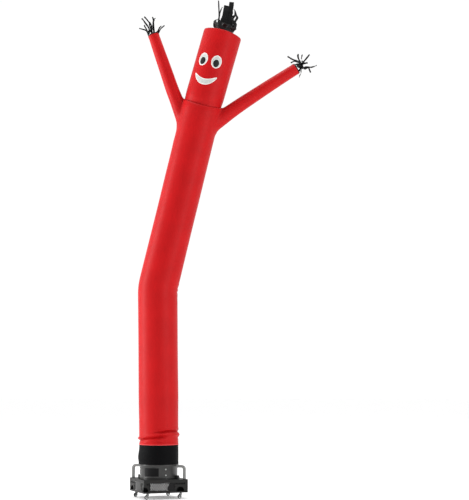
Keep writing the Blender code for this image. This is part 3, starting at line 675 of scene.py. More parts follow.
def make_arm(side):
    path = ARM_PATHS[side]
    steps = np.sqrt(((path[1:, :2] - path[:-1, :2]) ** 2).sum(1))
    lengths = np.concatenate(([0.0], np.cumsum(steps)))
    end = float(lengths[-1])
    places = rows_of((0.02, 0.42, 0.009), (0.42, end - 0.10, 0.022), (end - 0.10, end, 0.007))
    seed = ARM_SEEDS[side]
    pleats = ARM_PLEATS._replace(seed=seed)

    def spot(place):
        """Place and radius of the arm's axis, at a distance along it."""
        return [float(np.interp(place, lengths, path[:, i])) for i in range(3)]

    sections = []
    for place in places:
        x, z, radius = spot(place)
        before, after = spot(max(place - 0.02, 0)), spot(min(place + 0.02, end))
        lean = math.atan2(after[0] - before[0], after[1] - before[1])
        hem = 0.0010 * smooth(place, end - HEM, end - HEM + 0.003)

        def dent(turn, place=place, radius=radius):
            total = wander(place, turn, 0.0022, 2.5, seed) * smooth(place, 0.3, 0.5)
            total += gathers(turn, end - place, pleats)
            return total + seam_lift(turn, radius, 0.0014, 0.004)

        sections.append(ring(Vector((x, 0, z)), lean, radius + hem, ARM_SIDES, 0, dent))
    bm = skin(sections, places)
    cut_away(bm, BODY_PATH)
    flow_together(bm, path, BODY_PATH)
    arm = add_piece(f"{side}_arm_cloth", bm, RED, [f"arm_{side}"])
    solidify(arm, CLOTH)
    make_streamers(side)


def head_centre(along):
    """Place on the head's axis, at a distance along it from the neck."""
    foot = NECK + 2 * GAP * upward(math.radians(NECK_LEAN))
    return foot + along * upward(math.radians(HEAD_LEAN))


def make_head():
    places = rows_of((0, 0.10, 0.006), (0.10, 0.24, 0.012), (0.24, HEAD_LENGTH - 0.06, 0.022),
                     (HEAD_LENGTH - 0.06, HEAD_LENGTH - 0.008, 0.006),
                     (HEAD_LENGTH - 0.008, HEAD_LENGTH, 0.002))
    neck_radius = TUBE_RADIUS - NECK_PINCH
    sections = []
    for along in places:
        near_neck = 1 - smooth(along, 0, NECK_REACH)
        near_rim = smooth(along, HEAD_LENGTH - 0.010, HEAD_LENGTH)
        low = 1 - smooth(along, 0, 0.24)
        lean = math.radians(HEAD_LEAN + (NECK_LEAN - HEAD_LEAN) * near_neck)
        radius = HEAD_RADIUS + (neck_radius - HEAD_RADIUS) * near_neck - 0.003 * near_rim ** 2

        def dent(turn, along=along, near_neck=near_neck):
            face = degrees_from(turn, FACE_TURN + 270)
            calm = 1 - math.exp(-((face / 55) ** 4)) * smooth(along, 0.1, 0.2)
            total = wander(along, turn, 0.0020, 1.6, 20.0) * calm
            tuck = 0.004 + 0.010 * math.sin(turn) ** 2
            total -= tuck * (1 - smooth(along, 0.0, 0.12))
            total += NECK_PINCH * math.cos(turn) ** 2 * near_neck
            total += gathers(turn, along, HEAD_PLEATS)
            total += gathers(turn, HEAD_LENGTH - along, RIM_PLEATS)
            return total + seam_lift(turn, HEAD_RADIUS, 0.0016)

        sections.append(ring(head_centre(along), lean, radius, SIDES, NECK_DIP * low, dent))
    head = add_piece("head_cloth", skin(sections, places), RED, ["head_tube"])
    solidify(head, CLOTH)


def make_cap():
    """Top panel: puckered at its seam, domed, and open at the vent."""
    lean = math.radians(HEAD_LEAN)
    foot = HEAD_LENGTH + 0.0004
    rim_radius = HEAD_RADIUS - 0.003
    rim_rise = 0.002
    steps = 26
    sections = []
    places = []
    for i in range(steps + 1):
        share = i / steps
        radius = rim_radius + (VENT_RADIUS - HEAD_RADIUS + 0.003) * share
        rise = rim_rise + (CAP_RISE - rim_rise) * math.sin(share * math.pi / 2) ** 0.9

        def dent(turn, share=share):
            return gathers(turn, share * 0.12, CAP_PLEATS) * smooth(share, 0, 0.08)

        points = ring(head_centre(foot + rise), lean, radius, SIDES, 0, dent)
        fade = smooth(share, 0.0, 0.12)
        section = []
        for k, point in enumerate(points):
            pucker = 0.0022 * math.cos(40 * 2 * math.pi * k / SIDES) * math.exp(-share * 5)
            section.append(point + pucker * fade * upward(lean))
        sections.append(section)
        places.append(share * (HEAD_RADIUS - VENT_RADIUS))
    cap = add_piece("cap_cloth", skin(sections, places), RED, ["head_cap"])
    solidify(cap, CLOTH)
    make_hair()


def make_sleeve():
    """Black sleeve over the outlet: a hemmed foot, soft pleats and a slight bulge low on its left."""
    low = DUCT_TOP + GAP
    height = SLEEVE_TOP - low
    places = rows_of((0, 0.03, 0.005), (0.03, height - 0.02, 0.0085), (height - 0.02, height, 0.004))
    sections = []
    for place in places:
        z = low + place
        radius = SLEEVE_RADIUS - (SLEEVE_RADIUS - TUBE_RADIUS) * smooth(z, 0.50, SLEEVE_TOP)
        hem = 0.0012 * (1 - smooth(place, 0.022, 0.026))

        def dent(turn, place=place, z=z):
            bulge = 0.012 * max(0, math.cos(turn - math.pi)) ** 2
            total = bulge * hump(z - 0.47, 0.06)
            total += gathers(turn, place, SLEEVE_FOOT_PLEATS) * smooth(place, 0.02, 0.05)
            total += gathers(turn, height - place, SLEEVE_TOP_PLEATS)
            slack = max(round_noise(turn, 2.4, place * 9), 0)
            return total + 0.0028 * slack * math.sin(math.pi * place / height)

        sections.append(ring(Vector((AXIS_X, 0, z)), 0, radius + hem, SIDES, 0, dent))
    sleeve = add_piece("sleeve_cloth", skin(sections, places), BLACK_CLOTH,
                       ["sleeve"])
    solidify(sleeve, SLEEVE_CLOTH)


def add_ribbon(bm, cloth, points, width, twist, seed, fold=0.34, face=None, steps=7):
    """Thin folded strip along a course, which turns a little about its own line."""
    course = through(points, steps)
    side = Vector(face) if face else BACK.cross(course[-1] - course[0])
    rings = []
    length = 0.0
    for i, place in enumerate(course):
        ahead = course[min(i + 1, len(course) - 1)] - course[max(i - 1, 0)]
        ahead.normalize()
        side = (side - side.dot(ahead) * ahead).normalized()
        share = i / (len(course) - 1)
        roll = math.radians(twist) * (share + 0.5 * noise.noise(Vector((seed, 6 * share, 0))))
        across = Matrix.Rotation(roll, 3, ahead) @ side
        lift = ahead.cross(across)
        half = width / 2 * (1 + 0.25 * noise.noise(Vector((seed + 3, 9 * share, 2))))
        sink = fold * width * (0.6 + noise.noise(Vector((seed + 7, 7 * share, 4))))
        profile = ((-half, 0), (-0.15 * half, sink), (half, -0.2 * sink),
                   (half, CLOTH - 0.2 * sink), (-0.15 * half, sink + CLOTH), (-half, CLOTH))
        rings.append(([bm.verts.new(place + a * across + b * lift) for a, b in profile], length,
                      [a for a, b in profile]))
        if i + 1 < len(course):
            length += (course[i + 1] - place).length
    for (low, low_at, spots), (high, high_at, _) in zip(rings, rings[1:]):
        for i, strip in enumerate(bridge(bm, low, high)):
            j = (i + 1) % len(spots)
            marks = ((spots[i], low_at), (spots[j], low_at), (spots[j], high_at),
                     (spots[i], high_at))
            for loop, mark in zip(strip.loops, marks):
                loop[cloth].uv = mark
    bm.faces.new(list(reversed(rings[0][0])))
    bm.faces.new(rings[-1][0])


# Streamers and hair, in millimetres: each point is across, up and back from the ring's middle
Strand = namedtuple("Strand", "width twist points")
STREAMERS = {
    "left": (
        Strand(17, 30, ((-60, 0, 10), (-89, 57, 12), (-175, 87, 20))),
        Strand(19, 60, ((-50, 6, -36), (-53, 72, -40), (-103, 145, -50), (-136, 196, -46))),
        Strand(18, -40, ((-58, 4, 30), (-82, 68, 36), (-110, 120, 46), (-118, 142, 60))),
        Strand(19, 50, ((-18, 4, -60), (-22, 100, -52), (-62, 155, -60), (-107, 207, -74))),
        Strand(19, 40, ((10, 6, -56), (-2, 109, -44), (1, 171, -52), (-10, 207, -60))),
        Strand(17, -50, ((14, 4, -52), (4, 110, -40), (6, 172, -34), (23, 204, -26))),
        Strand(14, 30, ((50, 0, -20), (70, 36, -24), (91, 72, -30), (134, 112, -26))),
        Strand(12, 20, ((40, 2, -46), (42, 20, -50), (48, 36, -62))),
        Strand(19, 50, ((-6, 6, 60), (-30, 80, 74), (-52, 140, 70), (-50, 185, 86))),
        Strand(18, -30, ((44, 4, 44), (52, 60, 62), (66, 110, 90), (90, 140, 100))),
    ),
    "right": (
        Strand(19, 40, ((-20, 52, 20), (50, 70, 20), (30, 95, 14), (-36, 116, 6), (-98, 155, 10))),
        Strand(18, -30, ((4, 50, -34), (54, 56, -20), (43, 66, -20), (-18, 82, -40),
                         (-66, 61, -56))),
        Strand(19, 50, ((10, 40, 40), (62, 62, 14), (58, 95, 20), (36, 138, 34), (35, 190, 30))),
        Strand(18, 60, ((20, 30, 46), (70, 58, 20), (82, 102, 40), (74, 144, 60), (86, 190, 64))),
        Strand(19, 30, ((20, 20, -56), (76, 56, -20), (95, 85, -22), (130, 126, -34),
                        (164, 167, -40))),
        Strand(20, 20, ((34, 6, -44), (78, 50, -24), (100, 60, -30), (140, 67, -36))),
        Strand(19, 50, ((36, -30, -40), (64, 8, -46), (78, -6, -50), (119, 15, -50),
                        (188, 11, -40), (250, 33, -44))),
        Strand(18, 30, ((100, 4, -48), (146, 10, -46), (162, -24, -44), (174, -54, -50))),
        Strand(19, -40, ((40, -36, -30), (62, 14, -44), (66, -10, -56), (60, -66, -60),
                         (36, -118, -52))),
        Strand(19, 40, ((30, -20, 54), (76, 30, 40), (110, 20, 80), (150, 40, 100))),
    ),
}
HAIR_STRANDS = (
    Strand(68, 8, ((4, 30, -70), (14, 130, -64), (26, 215, -52), (46, 312, -56))),
    Strand(58, -6, ((52, 20, -56), (66, 130, -52), (88, 240, -40), (102, 358, -44))),
    Strand(52, 24, ((36, 30, -30), (40, 110, -20), (52, 190, -26), (66, 285, -20))),
    Strand(50, -20, ((86, 10, -50), (92, 80, -40), (102, 140, -46), (106, 195, -40))),
    Strand(40, 40, ((-50, 40, -60), (-34, 90, -64), (-14, 130, -56), (0, 180, -60))),
    Strand(17, 40, ((-70, 60, -50), (-50, 165, -48), (-50, 225, -44), (-56, 375, -50))),
    Strand(20, 60, ((-58, 80, -56), (-48, 180, -56), (-36, 232, -66), (-10, 290, -70))),
    Strand(36, 50, ((120, 10, -30), (128, 60, -36), (148, 82, -30), (142, 122, -24),
                    (168, 168, -30), (150, 206, -30), (142, 254, -26), (126, 278, -20))),
    Strand(30, -60, ((142, 76, -60), (118, 118, -62), (104, 152, -60), (96, 180, -52))),
    Strand(28, -40, ((108, 150, -40), (126, 172, -44), (140, 196, -40), (146, 214, -36))),
    Strand(34, 60, ((110, 0, -60), (136, 30, -60), (146, 60, -50), (130, 90, -52),
                    (106, 80, -70))),
    Strand(34, -50, ((-80, 50, -50), (-106, 84, -60), (-96, 124, -56), (-62, 140, -70))),
    Strand(46, 20, ((60, 10, 90), (60, 110, 98), (54, 200, 90), (72, 290, 100))),
    Strand(44, -20, ((-30, 30, 80), (-24, 80, 92), (-10, 130, 80), (12, 200, 86))),
    Strand(18, 50, ((-60, 60, 40), (-66, 100, 44), (-52, 140, 60), (-40, 170, 66))),
)
WIDE_STRAND = 30

# Knots of short strip ends at the wrists, in metres
Clump = namedtuple("Clump", "middle size")
CLUMPS = {
    "left": Clump(Vector((-0.046, 0.0, 0.050)), 0.024),
    "right": Clump(Vector((0.058, 0.0, 0.036)), 0.030),
}


def strand_course(strand, middle):
    """Points of a strand in metres, from the middle of its ring."""
    return [middle + Vector((across / 1000, back / 1000, up / 1000))
            for across, up, back in strand.points]


def add_clump(bm, cloth, middle, size, seed=1.0):
    """Crushed knot of short strip ends."""
    for i in range(9):
        turn = 2 * math.pi * i / 9 + seed
        reach = size * (0.7 + 0.5 * math.sin(3 * turn + seed))
        points = [middle + reach * 0.2 * Vector((math.cos(turn), math.sin(turn), 0.6)),
                  middle + reach * Vector((0.7 * math.cos(turn + 0.9), 0.7 * math.sin(turn + 0.9),
                                           0.5 * math.sin(2 * turn))),
                  middle + reach * Vector((0.9 * math.cos(turn + 2.0), math.sin(turn + 2.0),
                                           -0.4 + 0.7 * math.sin(turn + seed)))]
        add_ribbon(bm, cloth, points, 0.020, 90, seed + i, steps=5)


def inside(points, depth):
    """The points of a ring, moved towards its middle."""
    middle = sum(points, Vector()) / len(points)
    return [point + depth * (middle - point).normalized() for point in points]


def add_lining(bm, sections, places):
    """Add a skin that faces inwards."""
    lining = skin(sections, places)
    for face in lining.faces:
        face.normal_flip()
    spare = bpy.data.meshes.new("spare")
    lining.to_mesh(spare)
    bm.from_mesh(spare)
    bpy.data.meshes.remove(spare)
    lining.free()


def make_streamers(side):
    """Cuff strip at an arm's open end, with its streamers and their knot."""
    path = ARM_PATHS[side]
    tip = Vector((path[-1][0], 0, path[-1][1]))
    lean = math.atan2(path[-1][0] - path[-2][0], path[-1][1] - path[-2][1])
    radius = float(path[-1][2])
    places = [GAP + 0.012 * i / 3 for i in range(4)]
    outer, inner = ([ring(tip + place * upward(lean), lean, radius - depth, ARM_SIDES)
                     for place in places] for depth in (0.0005, 0.0025))
    bm = skin(outer, places)
    cloth = bm.loops.layers.uv["cloth"]
    add_lining(bm, inner, places)
    for i, strand in enumerate(STREAMERS[side]):
        add_ribbon(bm, cloth, strand_course(strand, tip), strand.width / 1000, strand.twist,
                   i * 1.7, fold=0.75)
    clump = CLUMPS[side]
    add_clump(bm, cloth, tip + clump.middle, clump.size)
    return add_piece(f"{side}_streamers", bm, STREAMER, [f"fingers_{side}"])


# Rings of the hair's collar, above its foot
Collar = namedtuple("Collar", "rise radius")
HAIR_COLLAR = (
    Collar(0.0, 0.1150),
    Collar(0.012, 0.1150),
    Collar(0.026, 0.1165),
    Collar(0.040, 0.1215),
    Collar(0.054, 0.1290),
    Collar(0.066, 0.1360),
    Collar(0.078, 0.1410),
)
COLLAR_SIDES = 96


def make_hair():
    """Crushed collar round the vent with wide and narrow strips."""
    lean = math.radians(HEAD_LEAN)
    foot = HEAD_LENGTH + 0.0015 + CAP_RISE + 0.001
    places = [row.rise for row in HAIR_COLLAR]
    sections = []
    for rise, radius in HAIR_COLLAR:
        slack = rise / HAIR_COLLAR[-1].rise

        def dent(turn, rise=rise, slack=slack):
            crush = round_noise(turn, 2.6, rise * 22)
            return slack * (0.030 * crush + 0.006 * math.sin(11 * turn))

        lifted = []
        for i, point in enumerate(ring(head_centre(foot + rise), lean, radius, COLLAR_SIDES, 0,
                                       dent)):
            jag = round_noise(2 * math.pi * i / COLLAR_SIDES, 4, 9)
            lifted.append(point + slack ** 2 * 0.030 * jag * upward(lean))
        sections.append(lifted)
    bm = skin(sections, places)
    cloth = bm.loops.layers.uv["cloth"]
    add_lining(bm, [inside(points, CLOTH) for points in sections], places)
    for i, strand in enumerate(HAIR_STRANDS):
        wide = strand.width > WIDE_STRAND
        add_ribbon(bm, cloth, strand_course(strand, head_centre(foot)), strand.width / 1000,
                   strand.twist, i * 2.3 + 11, 0.10 if wide else 0.12, (1, 0, 0) if wide else None)
    return add_piece("hair_strips", bm, STREAMER, ["hair"])


def on_head(down, around, lift):
    """Place on the head, down from its rim and round by an arc from the face's middle."""
    turn = math.radians(FACE_TURN - 90) + around / HEAD_RADIUS
    across = math.cos(turn) * rightward(math.radians(HEAD_LEAN)) + math.sin(turn) * BACK
    return head_centre(HEAD_LENGTH - down) + (HEAD_RADIUS + lift) * across


def patch_point(bm, layer, down, around, lift, from_edge, border=BORDER):
    """Point of a patch: rounded down at its edge, ridged along its border and marked as border."""
    ridge = PATCH_RIDGE * hump(from_edge - border / 2, border / 2.2)
    drop = PATCH * (1 - smooth(from_edge, 0, PATCH_ROUND))
    vert = bm.verts.new(on_head(down, around, lift + PATCH + ridge - drop))
    vert[layer] = 1 - smooth(from_edge, border * 0.8, border * 1.2)
    return vert


def make_oval(name, down, around, width, height, finish, node, lift, rings=14, border=BORDER,
              count=64):
    """Oval piece of cloth on the head: a flat field and a raised border."""
    material, slot = finish
    bm = bmesh.new()
    layer = bm.verts.layers.float.new("border")
    size = max(width, height) / 2
    start = bm.verts.new(on_head(down, around, lift + PATCH))
    loops = []
    for ring_number in range(1, rings + 1):
        level = ring_number / rings
        loop = []
        for k in range(count):
            turn = 2 * math.pi * k / count
            loop.append(patch_point(bm, layer, down - height / 2 * math.sin(turn) * level,
                                    around + width / 2 * math.cos(turn) * level, lift,
                                    (1 - level) * size, border))
        loops.append(loop)
    for k in range(count):
        bm.faces.new((start, loops[0][(k + 1) % count], loops[0][k]))
    for low, high in zip(loops, loops[1:]):
        bridge(bm, low, high)
    bmesh.ops.recalc_face_normals(bm, faces=bm.faces)
    return add_piece(name, bm, material, [node])


def make_mouth():
    """Crescent of cloth, thick in its middle and round at its tips."""
    columns = 60
    across = 12
    bm = bmesh.new()
    layer = bm.verts.layers.float.new("border")
    rows = []
    for i in range(columns + 1):
        spot = math.sin(math.pi / 2 * 0.995 * (2 * i / columns - 1))
        down = MOUTH_MIDDLE - MOUTH_RISE * spot ** 2
        half = MOUTH_HALF_HEIGHT * math.sqrt(max(1 - abs(spot) ** 2.6, 0.0004))
        to_tip = (1 - abs(spot)) * MOUTH_HALF_WIDTH
        row = []
        for k in range(across + 1):
            side = math.sin(math.pi / 2 * (2 * k / across - 1))
            from_edge = min((1 - abs(side)) * half, to_tip)
            row.append(patch_point(bm, layer, down + side * half, MOUTH_HALF_WIDTH * spot, GAP,
                                   from_edge))
        rows.append(row)
    for left, right in zip(rows, rows[1:]):
        for k in range(across):
            bm.faces.new((left[k], left[k + 1], right[k + 1], right[k]))
    bmesh.ops.recalc_face_normals(bm, faces=bm.faces)
    mouth = add_piece("mouth_patch", bm, PALE, ["mouth"])


def make_face():
    for side, way in (("left", -1), ("right", 1)):
        around = way * math.radians(EYE_AROUND) * HEAD_RADIUS
        eye = make_oval(f"{side}_eye_patch", EYE_DOWN, around, EYE_WIDTH, EYE_HEIGHT,
                        (PALE, "pale_print"), f"eye_{side}", GAP)
        pupil = make_oval(f"{side}_pupil_patch", EYE_DOWN + PUPIL_DROP, around, PUPIL_WIDTH,
                          PUPIL_HEIGHT, (PUPIL, "black_nylon"), f"pupil_{side}", GAP + PATCH,
                          rings=8, border=0.004)
    make_mouth()


# Blower: sizes of its sheet metal, in its own frame
BLOWER_TURN = 22.0
HOUSING_SIDE = 0.536
SHEET = 0.0025
FOLD_RADIUS = 0.006
AIR_RADIUS = 0.200
INTAKE_RADIUS = 0.215
DUCT_RADIUS = 0.220
DUCT_INSIDE = 0.216
FLANGE_RADIUS = 0.232
FLANGE_HEIGHT = 0.021
FLANGE_ROUND = 0.003
BEAD_HEIGHT = 0.016
ARCH_WIDTH = 0.100
ARCH_LOW = 0.090
ARCH_HEIGHT = 0.052
ARCH_TOP = ARCH_LOW + ARCH_HEIGHT
ARCH_MIDDLE = 0.1731
CORNER_ARCH = 0.055
HATCH = (-0.059, 0.133)
HATCH_LOW = 0.088
HATCH_TOP = 0.199
MESH_ACROSS = 0.0205
MESH_UP = 0.035
MESH_LEVELS = (0.092, 0.206)
DIAMOND = (0.00825, 0.0142)
LINER = 0.0015
LINER_SETBACK = 0.014
LINER_LEVELS = (0.106, 0.200)
WELL = (0.100, 0.255)
WELL_DEPTH = 0.110
LINER_EDGE = (-0.186, 0.012, 0.052)
CASTER_REACH = 0.285
CASTER_TURN = 125.0
TRAIL = 0.016
WHEEL_RADIUS = 0.025
WHEEL_WIDTH = 0.017
HUB_RADIUS = 0.0155
AXLE_BORE = 0.0043
CORNERS = (("front", 225), ("right", 315), ("back", 45), ("left", 135))

# The housing's faces: which edge an arch wraps, and where the other arch is
Face = namedtuple("Face", "degrees corner arch hatch")
FACES = (
    Face(0, -1, ARCH_MIDDLE, False),
    Face(-90, 1, -ARCH_MIDDLE, True),
    Face(90, 1, -ARCH_MIDDLE, False),
    Face(180, -1, ARCH_MIDDLE, False),
)


def blower_place(degrees=0.0, x=0.0, y=0.0, z=0.0):
    """Place in the blower's frame, turned further about its own axis."""
    return (Matrix.Translation((AXIS_X, 0, 0))
            @ Matrix.Rotation(math.radians(BLOWER_TURN + degrees), 4, "Z")
            @ Matrix.Translation((x, y, z)))


def add_sheet(bm, outlines, place, thickness=SHEET):
    """Add a flat sheet: the first outline is its edge and the others are holes."""
    curve = bpy.data.curves.new("outline", "CURVE")
    curve.dimensions = "2D"
    curve.fill_mode = "BOTH"
    curve.extrude = thickness / 2
    for outline in outlines:
        spline = curve.splines.new("POLY")
        spline.points.add(len(outline) - 1)
        for point, (across, up) in zip(spline.points, outline):
            point.co = (across, up, 0, 1)
        spline.use_cyclic_u = True
    item = link_object("outline", curve)
    mesh = bpy.data.meshes.new_from_object(
        item.evaluated_get(bpy.context.evaluated_depsgraph_get()))
    mesh.transform(place)
    bm.from_mesh(mesh)
    bpy.data.objects.remove(item)
    bpy.data.curves.remove(curve)
    bpy.data.meshes.remove(mesh)


def upright(degrees, setback=0.0):
    """Place of a sheet that stands in a housing face, across and up as seen from outside."""
    turn = Matrix.Rotation(math.radians(90), 4, "X")
    return blower_place(degrees, 0, SHEET / 2 + setback - HOUSING_SIDE / 2) @ turn


def rectangle(left, right, low, top):
    return [(left, low), (right, low), (right, top), (left, top)]


def circle(radius, count=96):
    turns = [2 * math.pi * i / count for i in range(count)]
    return [(radius * math.cos(turn), radius * math.sin(turn)) for turn in turns]


def arch(middle, steps=20):
    turns = [math.pi * i / steps for i in range(steps + 1)]
    return [(middle + ARCH_WIDTH / 2 * math.cos(turn), ARCH_LOW + ARCH_HEIGHT * math.sin(turn))
            for turn in turns]


def half_arch(edge, way, steps=10):
    """Arch that wraps a face's edge, from the edge inwards and up to it again."""
    width = CORNER_ARCH - FOLD_RADIUS
    points = [(way * edge, ARCH_LOW)]
    for i in range(steps + 1):
        turn = math.pi / 2 * i / steps
        points.append((way * (edge - width * math.cos(turn)),
                       ARCH_LOW + ARCH_HEIGHT * math.sin(turn)))
    return points


def face_edge(corner):
    """Outline of a housing face; corner is the side whose edge an arch wraps."""
    edge = HOUSING_SIDE / 2 - FOLD_RADIUS
    right = half_arch(edge, 1) if corner > 0 else []
    left = half_arch(edge, -1)[::-1] if corner < 0 else []
    return ([(-edge, HOUSING_LOW), (edge, HOUSING_LOW)] + right
            + [(edge, HOUSING_TOP), (-edge, HOUSING_TOP)] + left)


def diamonds(face):
    """Mesh holes of a face, clear of its edges, its arches and the hatch."""
    half, tall = DIAMOND
    edge = HOUSING_SIDE / 2 - 0.022
    low, high = MESH_LEVELS
    rows = int((high - low - 2 * tall) / (MESH_UP / 2)) + 1
    reach = half + 0.012
    outlines = []
    for row in range(rows):
        level = low + tall + row * MESH_UP / 2
        shift = MESH_ACROSS / 2 * (row % 2)
        for column in range(-14, 15):
            place = column * MESH_ACROSS + shift
            near_arch = abs(place - face.arch) < ARCH_WIDTH / 2 + half + 0.006
            near_corner = face.corner * place > HOUSING_SIDE / 2 - CORNER_ARCH - half - 0.008
            near_hatch = face.hatch and HATCH[0] - reach < place < HATCH[1] + reach
            if abs(place) + half > edge or near_hatch:
                continue
            if level - tall < ARCH_TOP + 0.012 and (near_arch or near_corner):
                continue
            outlines.append([(place - half, level), (place, level - tall), (place + half, level),
                             (place, level + tall)])
    return outlines


def add_fold(bm, degrees, low, high, steps=6):
    """Rounded corner of the housing between two faces."""
    inner = HOUSING_SIDE / 2 - FOLD_RADIUS
    profile = []
    for radius, order in ((FOLD_RADIUS, range(steps + 1)),
                          (FOLD_RADIUS - SHEET, range(steps, -1, -1))):
        for i in order:
            turn = math.radians(90 * i / steps)
            profile.append((inner + radius * math.cos(turn), inner + radius * math.sin(turn)))
    place = blower_place(degrees)
    rings = [[bm.verts.new(place @ Vector((a, b, z))) for a, b in profile] for z in (low, high)]
    bridge(bm, *rings)
    bm.faces.new(rings[0][::-1])
    bm.faces.new(rings[1])


def make_housing():
    """Folded box: diamond mesh in its faces, arches for the casters and a hatch on its left."""
    bm = bmesh.new()
    for face in FACES:
        outlines = [face_edge(face.corner), arch(face.arch)] + diamonds(face)
        if face.hatch:
            outlines.append(rectangle(*HATCH, HATCH_LOW, HATCH_TOP))
        add_sheet(bm, outlines, upright(face.degrees))
    for degrees in (-90, 90):
        add_fold(bm, degrees, HOUSING_LOW, HOUSING_TOP)
    for degrees in (0, 180):
        add_fold(bm, degrees, HOUSING_LOW, ARCH_LOW)
        add_fold(bm, degrees, ARCH_TOP, HOUSING_TOP)
    side = HOUSING_SIDE / 2 - FOLD_RADIUS / 2
    for level, radius in ((HOUSING_TOP - SHEET / 2, AIR_RADIUS),
                          (HOUSING_LOW + SHEET / 2, INTAKE_RADIUS)):
        add_sheet(bm, [rectangle(-side, side, -side, side), circle(radius)],
                  blower_place(0, 0, 0, level))
    add_piece("housing_sheet", bm, GREY_METAL, ["housing"], sharp=35)


def make_liners():
    """Sheets behind the mesh: a pale slanted one on the front's right, painted light that stands in
    for the bright backdrop seen through the housing, and black ones, painted shade of the housing's
    inside and its caster wells.
    """
    edge = HOUSING_SIDE / 2 - 0.020
    low = HOUSING_LOW + 2 * SHEET
    top = HOUSING_TOP - 2 * SHEET
    beside_arch = ARCH_MIDDLE - ARCH_WIDTH / 2 - 0.004
    near, far_low, far_top = LINER_EDGE
    foot, head = LINER_LEVELS
    # Pale slanted sheet: painted light, the bright backdrop seen through both faces of mesh.
    bm = bmesh.new()
    add_sheet(bm, [[(near, foot), (far_low, foot), (far_top, head), (near, head)]],
              upright(0, LINER_SETBACK), LINER)
    add_piece("painted_backdrop_sheet", bm, PAINTED_BACKDROP_LIGHT)
    # Black sheets: painted shade of the housing's inside, just behind the mesh.
    shade_panels = [
        (0, rectangle(near, far_low, low, foot - 0.001)),
        (0, rectangle(near, far_low, head + 0.001, top)),
        (0, [(far_low + 0.002, low), (beside_arch, low), (beside_arch, top),
             (far_top + 0.002, top)]),
        (-90, rectangle(-beside_arch, HATCH[0] - 0.016, low, top)),
        (-90, rectangle(HATCH[1] + 0.018, edge - 0.034, low, top)),
        (90, rectangle(-edge, edge, low, top)),
        (180, rectangle(-edge, edge, low, top)),
    ]
    bm = bmesh.new()
    for degrees, outline in shade_panels:
        add_sheet(bm, [outline], upright(degrees, LINER_SETBACK), LINER)
    # Black backs of the caster wells: painted shade in their depth.
    for degrees, way in ((0, -1), (0, 1), (-90, -1)):
        start, end = sorted((way * WELL[0], way * WELL[1]))
        add_sheet(bm, [rectangle(start, end, low, top)], upright(degrees, WELL_DEPTH), LINER)
    add_piece("painted_shade_sheets", bm, BLACK_METAL)


def turned(profile, place, steps=128):
    """Turn a closed profile of (radius, height) about the Z axis of a place."""
    bm = bmesh.new()
    rings = []
    for i in range(steps):
        turn = 2 * math.pi * i / steps
        rings.append([bm.verts.new(place @ Vector((r * math.cos(turn), r * math.sin(turn), z)))
                      for r, z in profile])
    for i in range(steps):
        bridge(bm, rings[i], rings[(i + 1) % steps])
    bmesh.ops.recalc_face_normals(bm, faces=bm.faces)
    return bm


def make_duct():
    """Rolled duct: a bead near its foot and a rounded flange at its top."""
    low = HOUSING_TOP + GAP
    under = DUCT_TOP - FLANGE_HEIGHT
    soft = FLANGE_ROUND
    profile = [(DUCT_INSIDE, DUCT_TOP), (FLANGE_RADIUS - soft, DUCT_TOP)]
    for i in range(1, 4):
        turn = math.radians(30 * i)
        profile.append((FLANGE_RADIUS - soft + soft * math.sin(turn),
                        DUCT_TOP - soft + soft * math.cos(turn)))
    profile += [(FLANGE_RADIUS, under + soft), (FLANGE_RADIUS - 0.002, under),
                (DUCT_RADIUS + 0.001, under), (DUCT_RADIUS, under - 0.001)]
    for i in range(9):
        turn = math.pi * i / 8
        profile.append((DUCT_RADIUS + 0.0045 * math.sin(turn),
                        low + BEAD_HEIGHT + 0.007 * math.cos(turn)))
    profile += [(DUCT_RADIUS, low), (DUCT_INSIDE, low)]
    add_piece("duct_shell", turned(profile, blower_place()), DUCT_METAL, ["duct"],
              sharp=50)


def make_wheels():
    """Caster wheels: a crowned tyre with a stepped, plated hub."""
    half = WHEEL_WIDTH / 2
    side = ((AXLE_BORE, half), (0.0085, half), (0.0095, half - 0.002), (0.0150, half - 0.002),
            (0.0160, half), (0.0205, half), (0.0235, half - 0.0015),
            (WHEEL_RADIUS - 0.0002, half - 0.004))
    profile = list(side) + [(WHEEL_RADIUS, 0.0)] + [(r, -z) for r, z in side[::-1]]
    course = math.radians(CASTER_TURN)
    trail = TRAIL * Vector((-math.sin(course), math.cos(course), 0))
    axis = Vector((math.cos(course), math.sin(course), 0))
    for corner, turn in CORNERS:
        centre = blower_place(turn) @ Vector((CASTER_REACH, 0, WHEEL_RADIUS)) + trail
        place = (Matrix.Translation(centre) @ Matrix.Rotation(course, 4, "Z")
                 @ Matrix.Rotation(math.radians(90), 4, "Y"))
        bm = turned(profile, place, 48)
        for face in bm.faces:
            off = face.calc_center_median() - centre
            if (off - off.dot(axis) * axis).length < HUB_RADIUS:
                face.material_index = 1
        wheel = add_piece(f"{corner}_wheel_tyre", bm, RUBBER,
                          [f"caster_{corner}_wheel"], f"{corner}_wheel")
        wheel.data.materials.append(ZINC)


SLOT_FINISHES = {
    "grey_metal": GREY_METAL,
    "black_metal": BLACK_METAL,
    "zinc": ZINC,
    "wheel_rubber": RUBBER,
    "yellow_cap": YELLOW,
}
NODE_FINISHES = {
    "sign_plate": SIGN,
    "hatch_plate": PLATE_METAL,
    "handle_left": HANDLE_PAINT_AND_LIGHT,
    "handle_right": HANDLE_PAINT_AND_LIGHT,
    **{f"duct_bolt_{i}": BOLT_METAL for i in range(1, 9)},
    **{f"caster_{corner}_fork": FORK_METAL for corner, _ in CORNERS},
}


def finish_nodes():
    """Give each solid that stays its own finish."""
    for part in frame["record"]["subparts"]:
        material = SLOT_FINISHES.get(part["material_slot"])
        if material:
            mesh = frame["nodes"][part["node"]].data
            mesh.materials.clear()
            mesh.materials.append(NODE_FINISHES.get(part["node"], material))


def make_dancer():
    make_body()
    make_arm("left")
    make_arm("right")
    make_head()
    make_cap()
    make_sleeve()
    make_face()


def make_blower():
    make_housing()
    make_liners()
    make_duct()
    make_wheels()


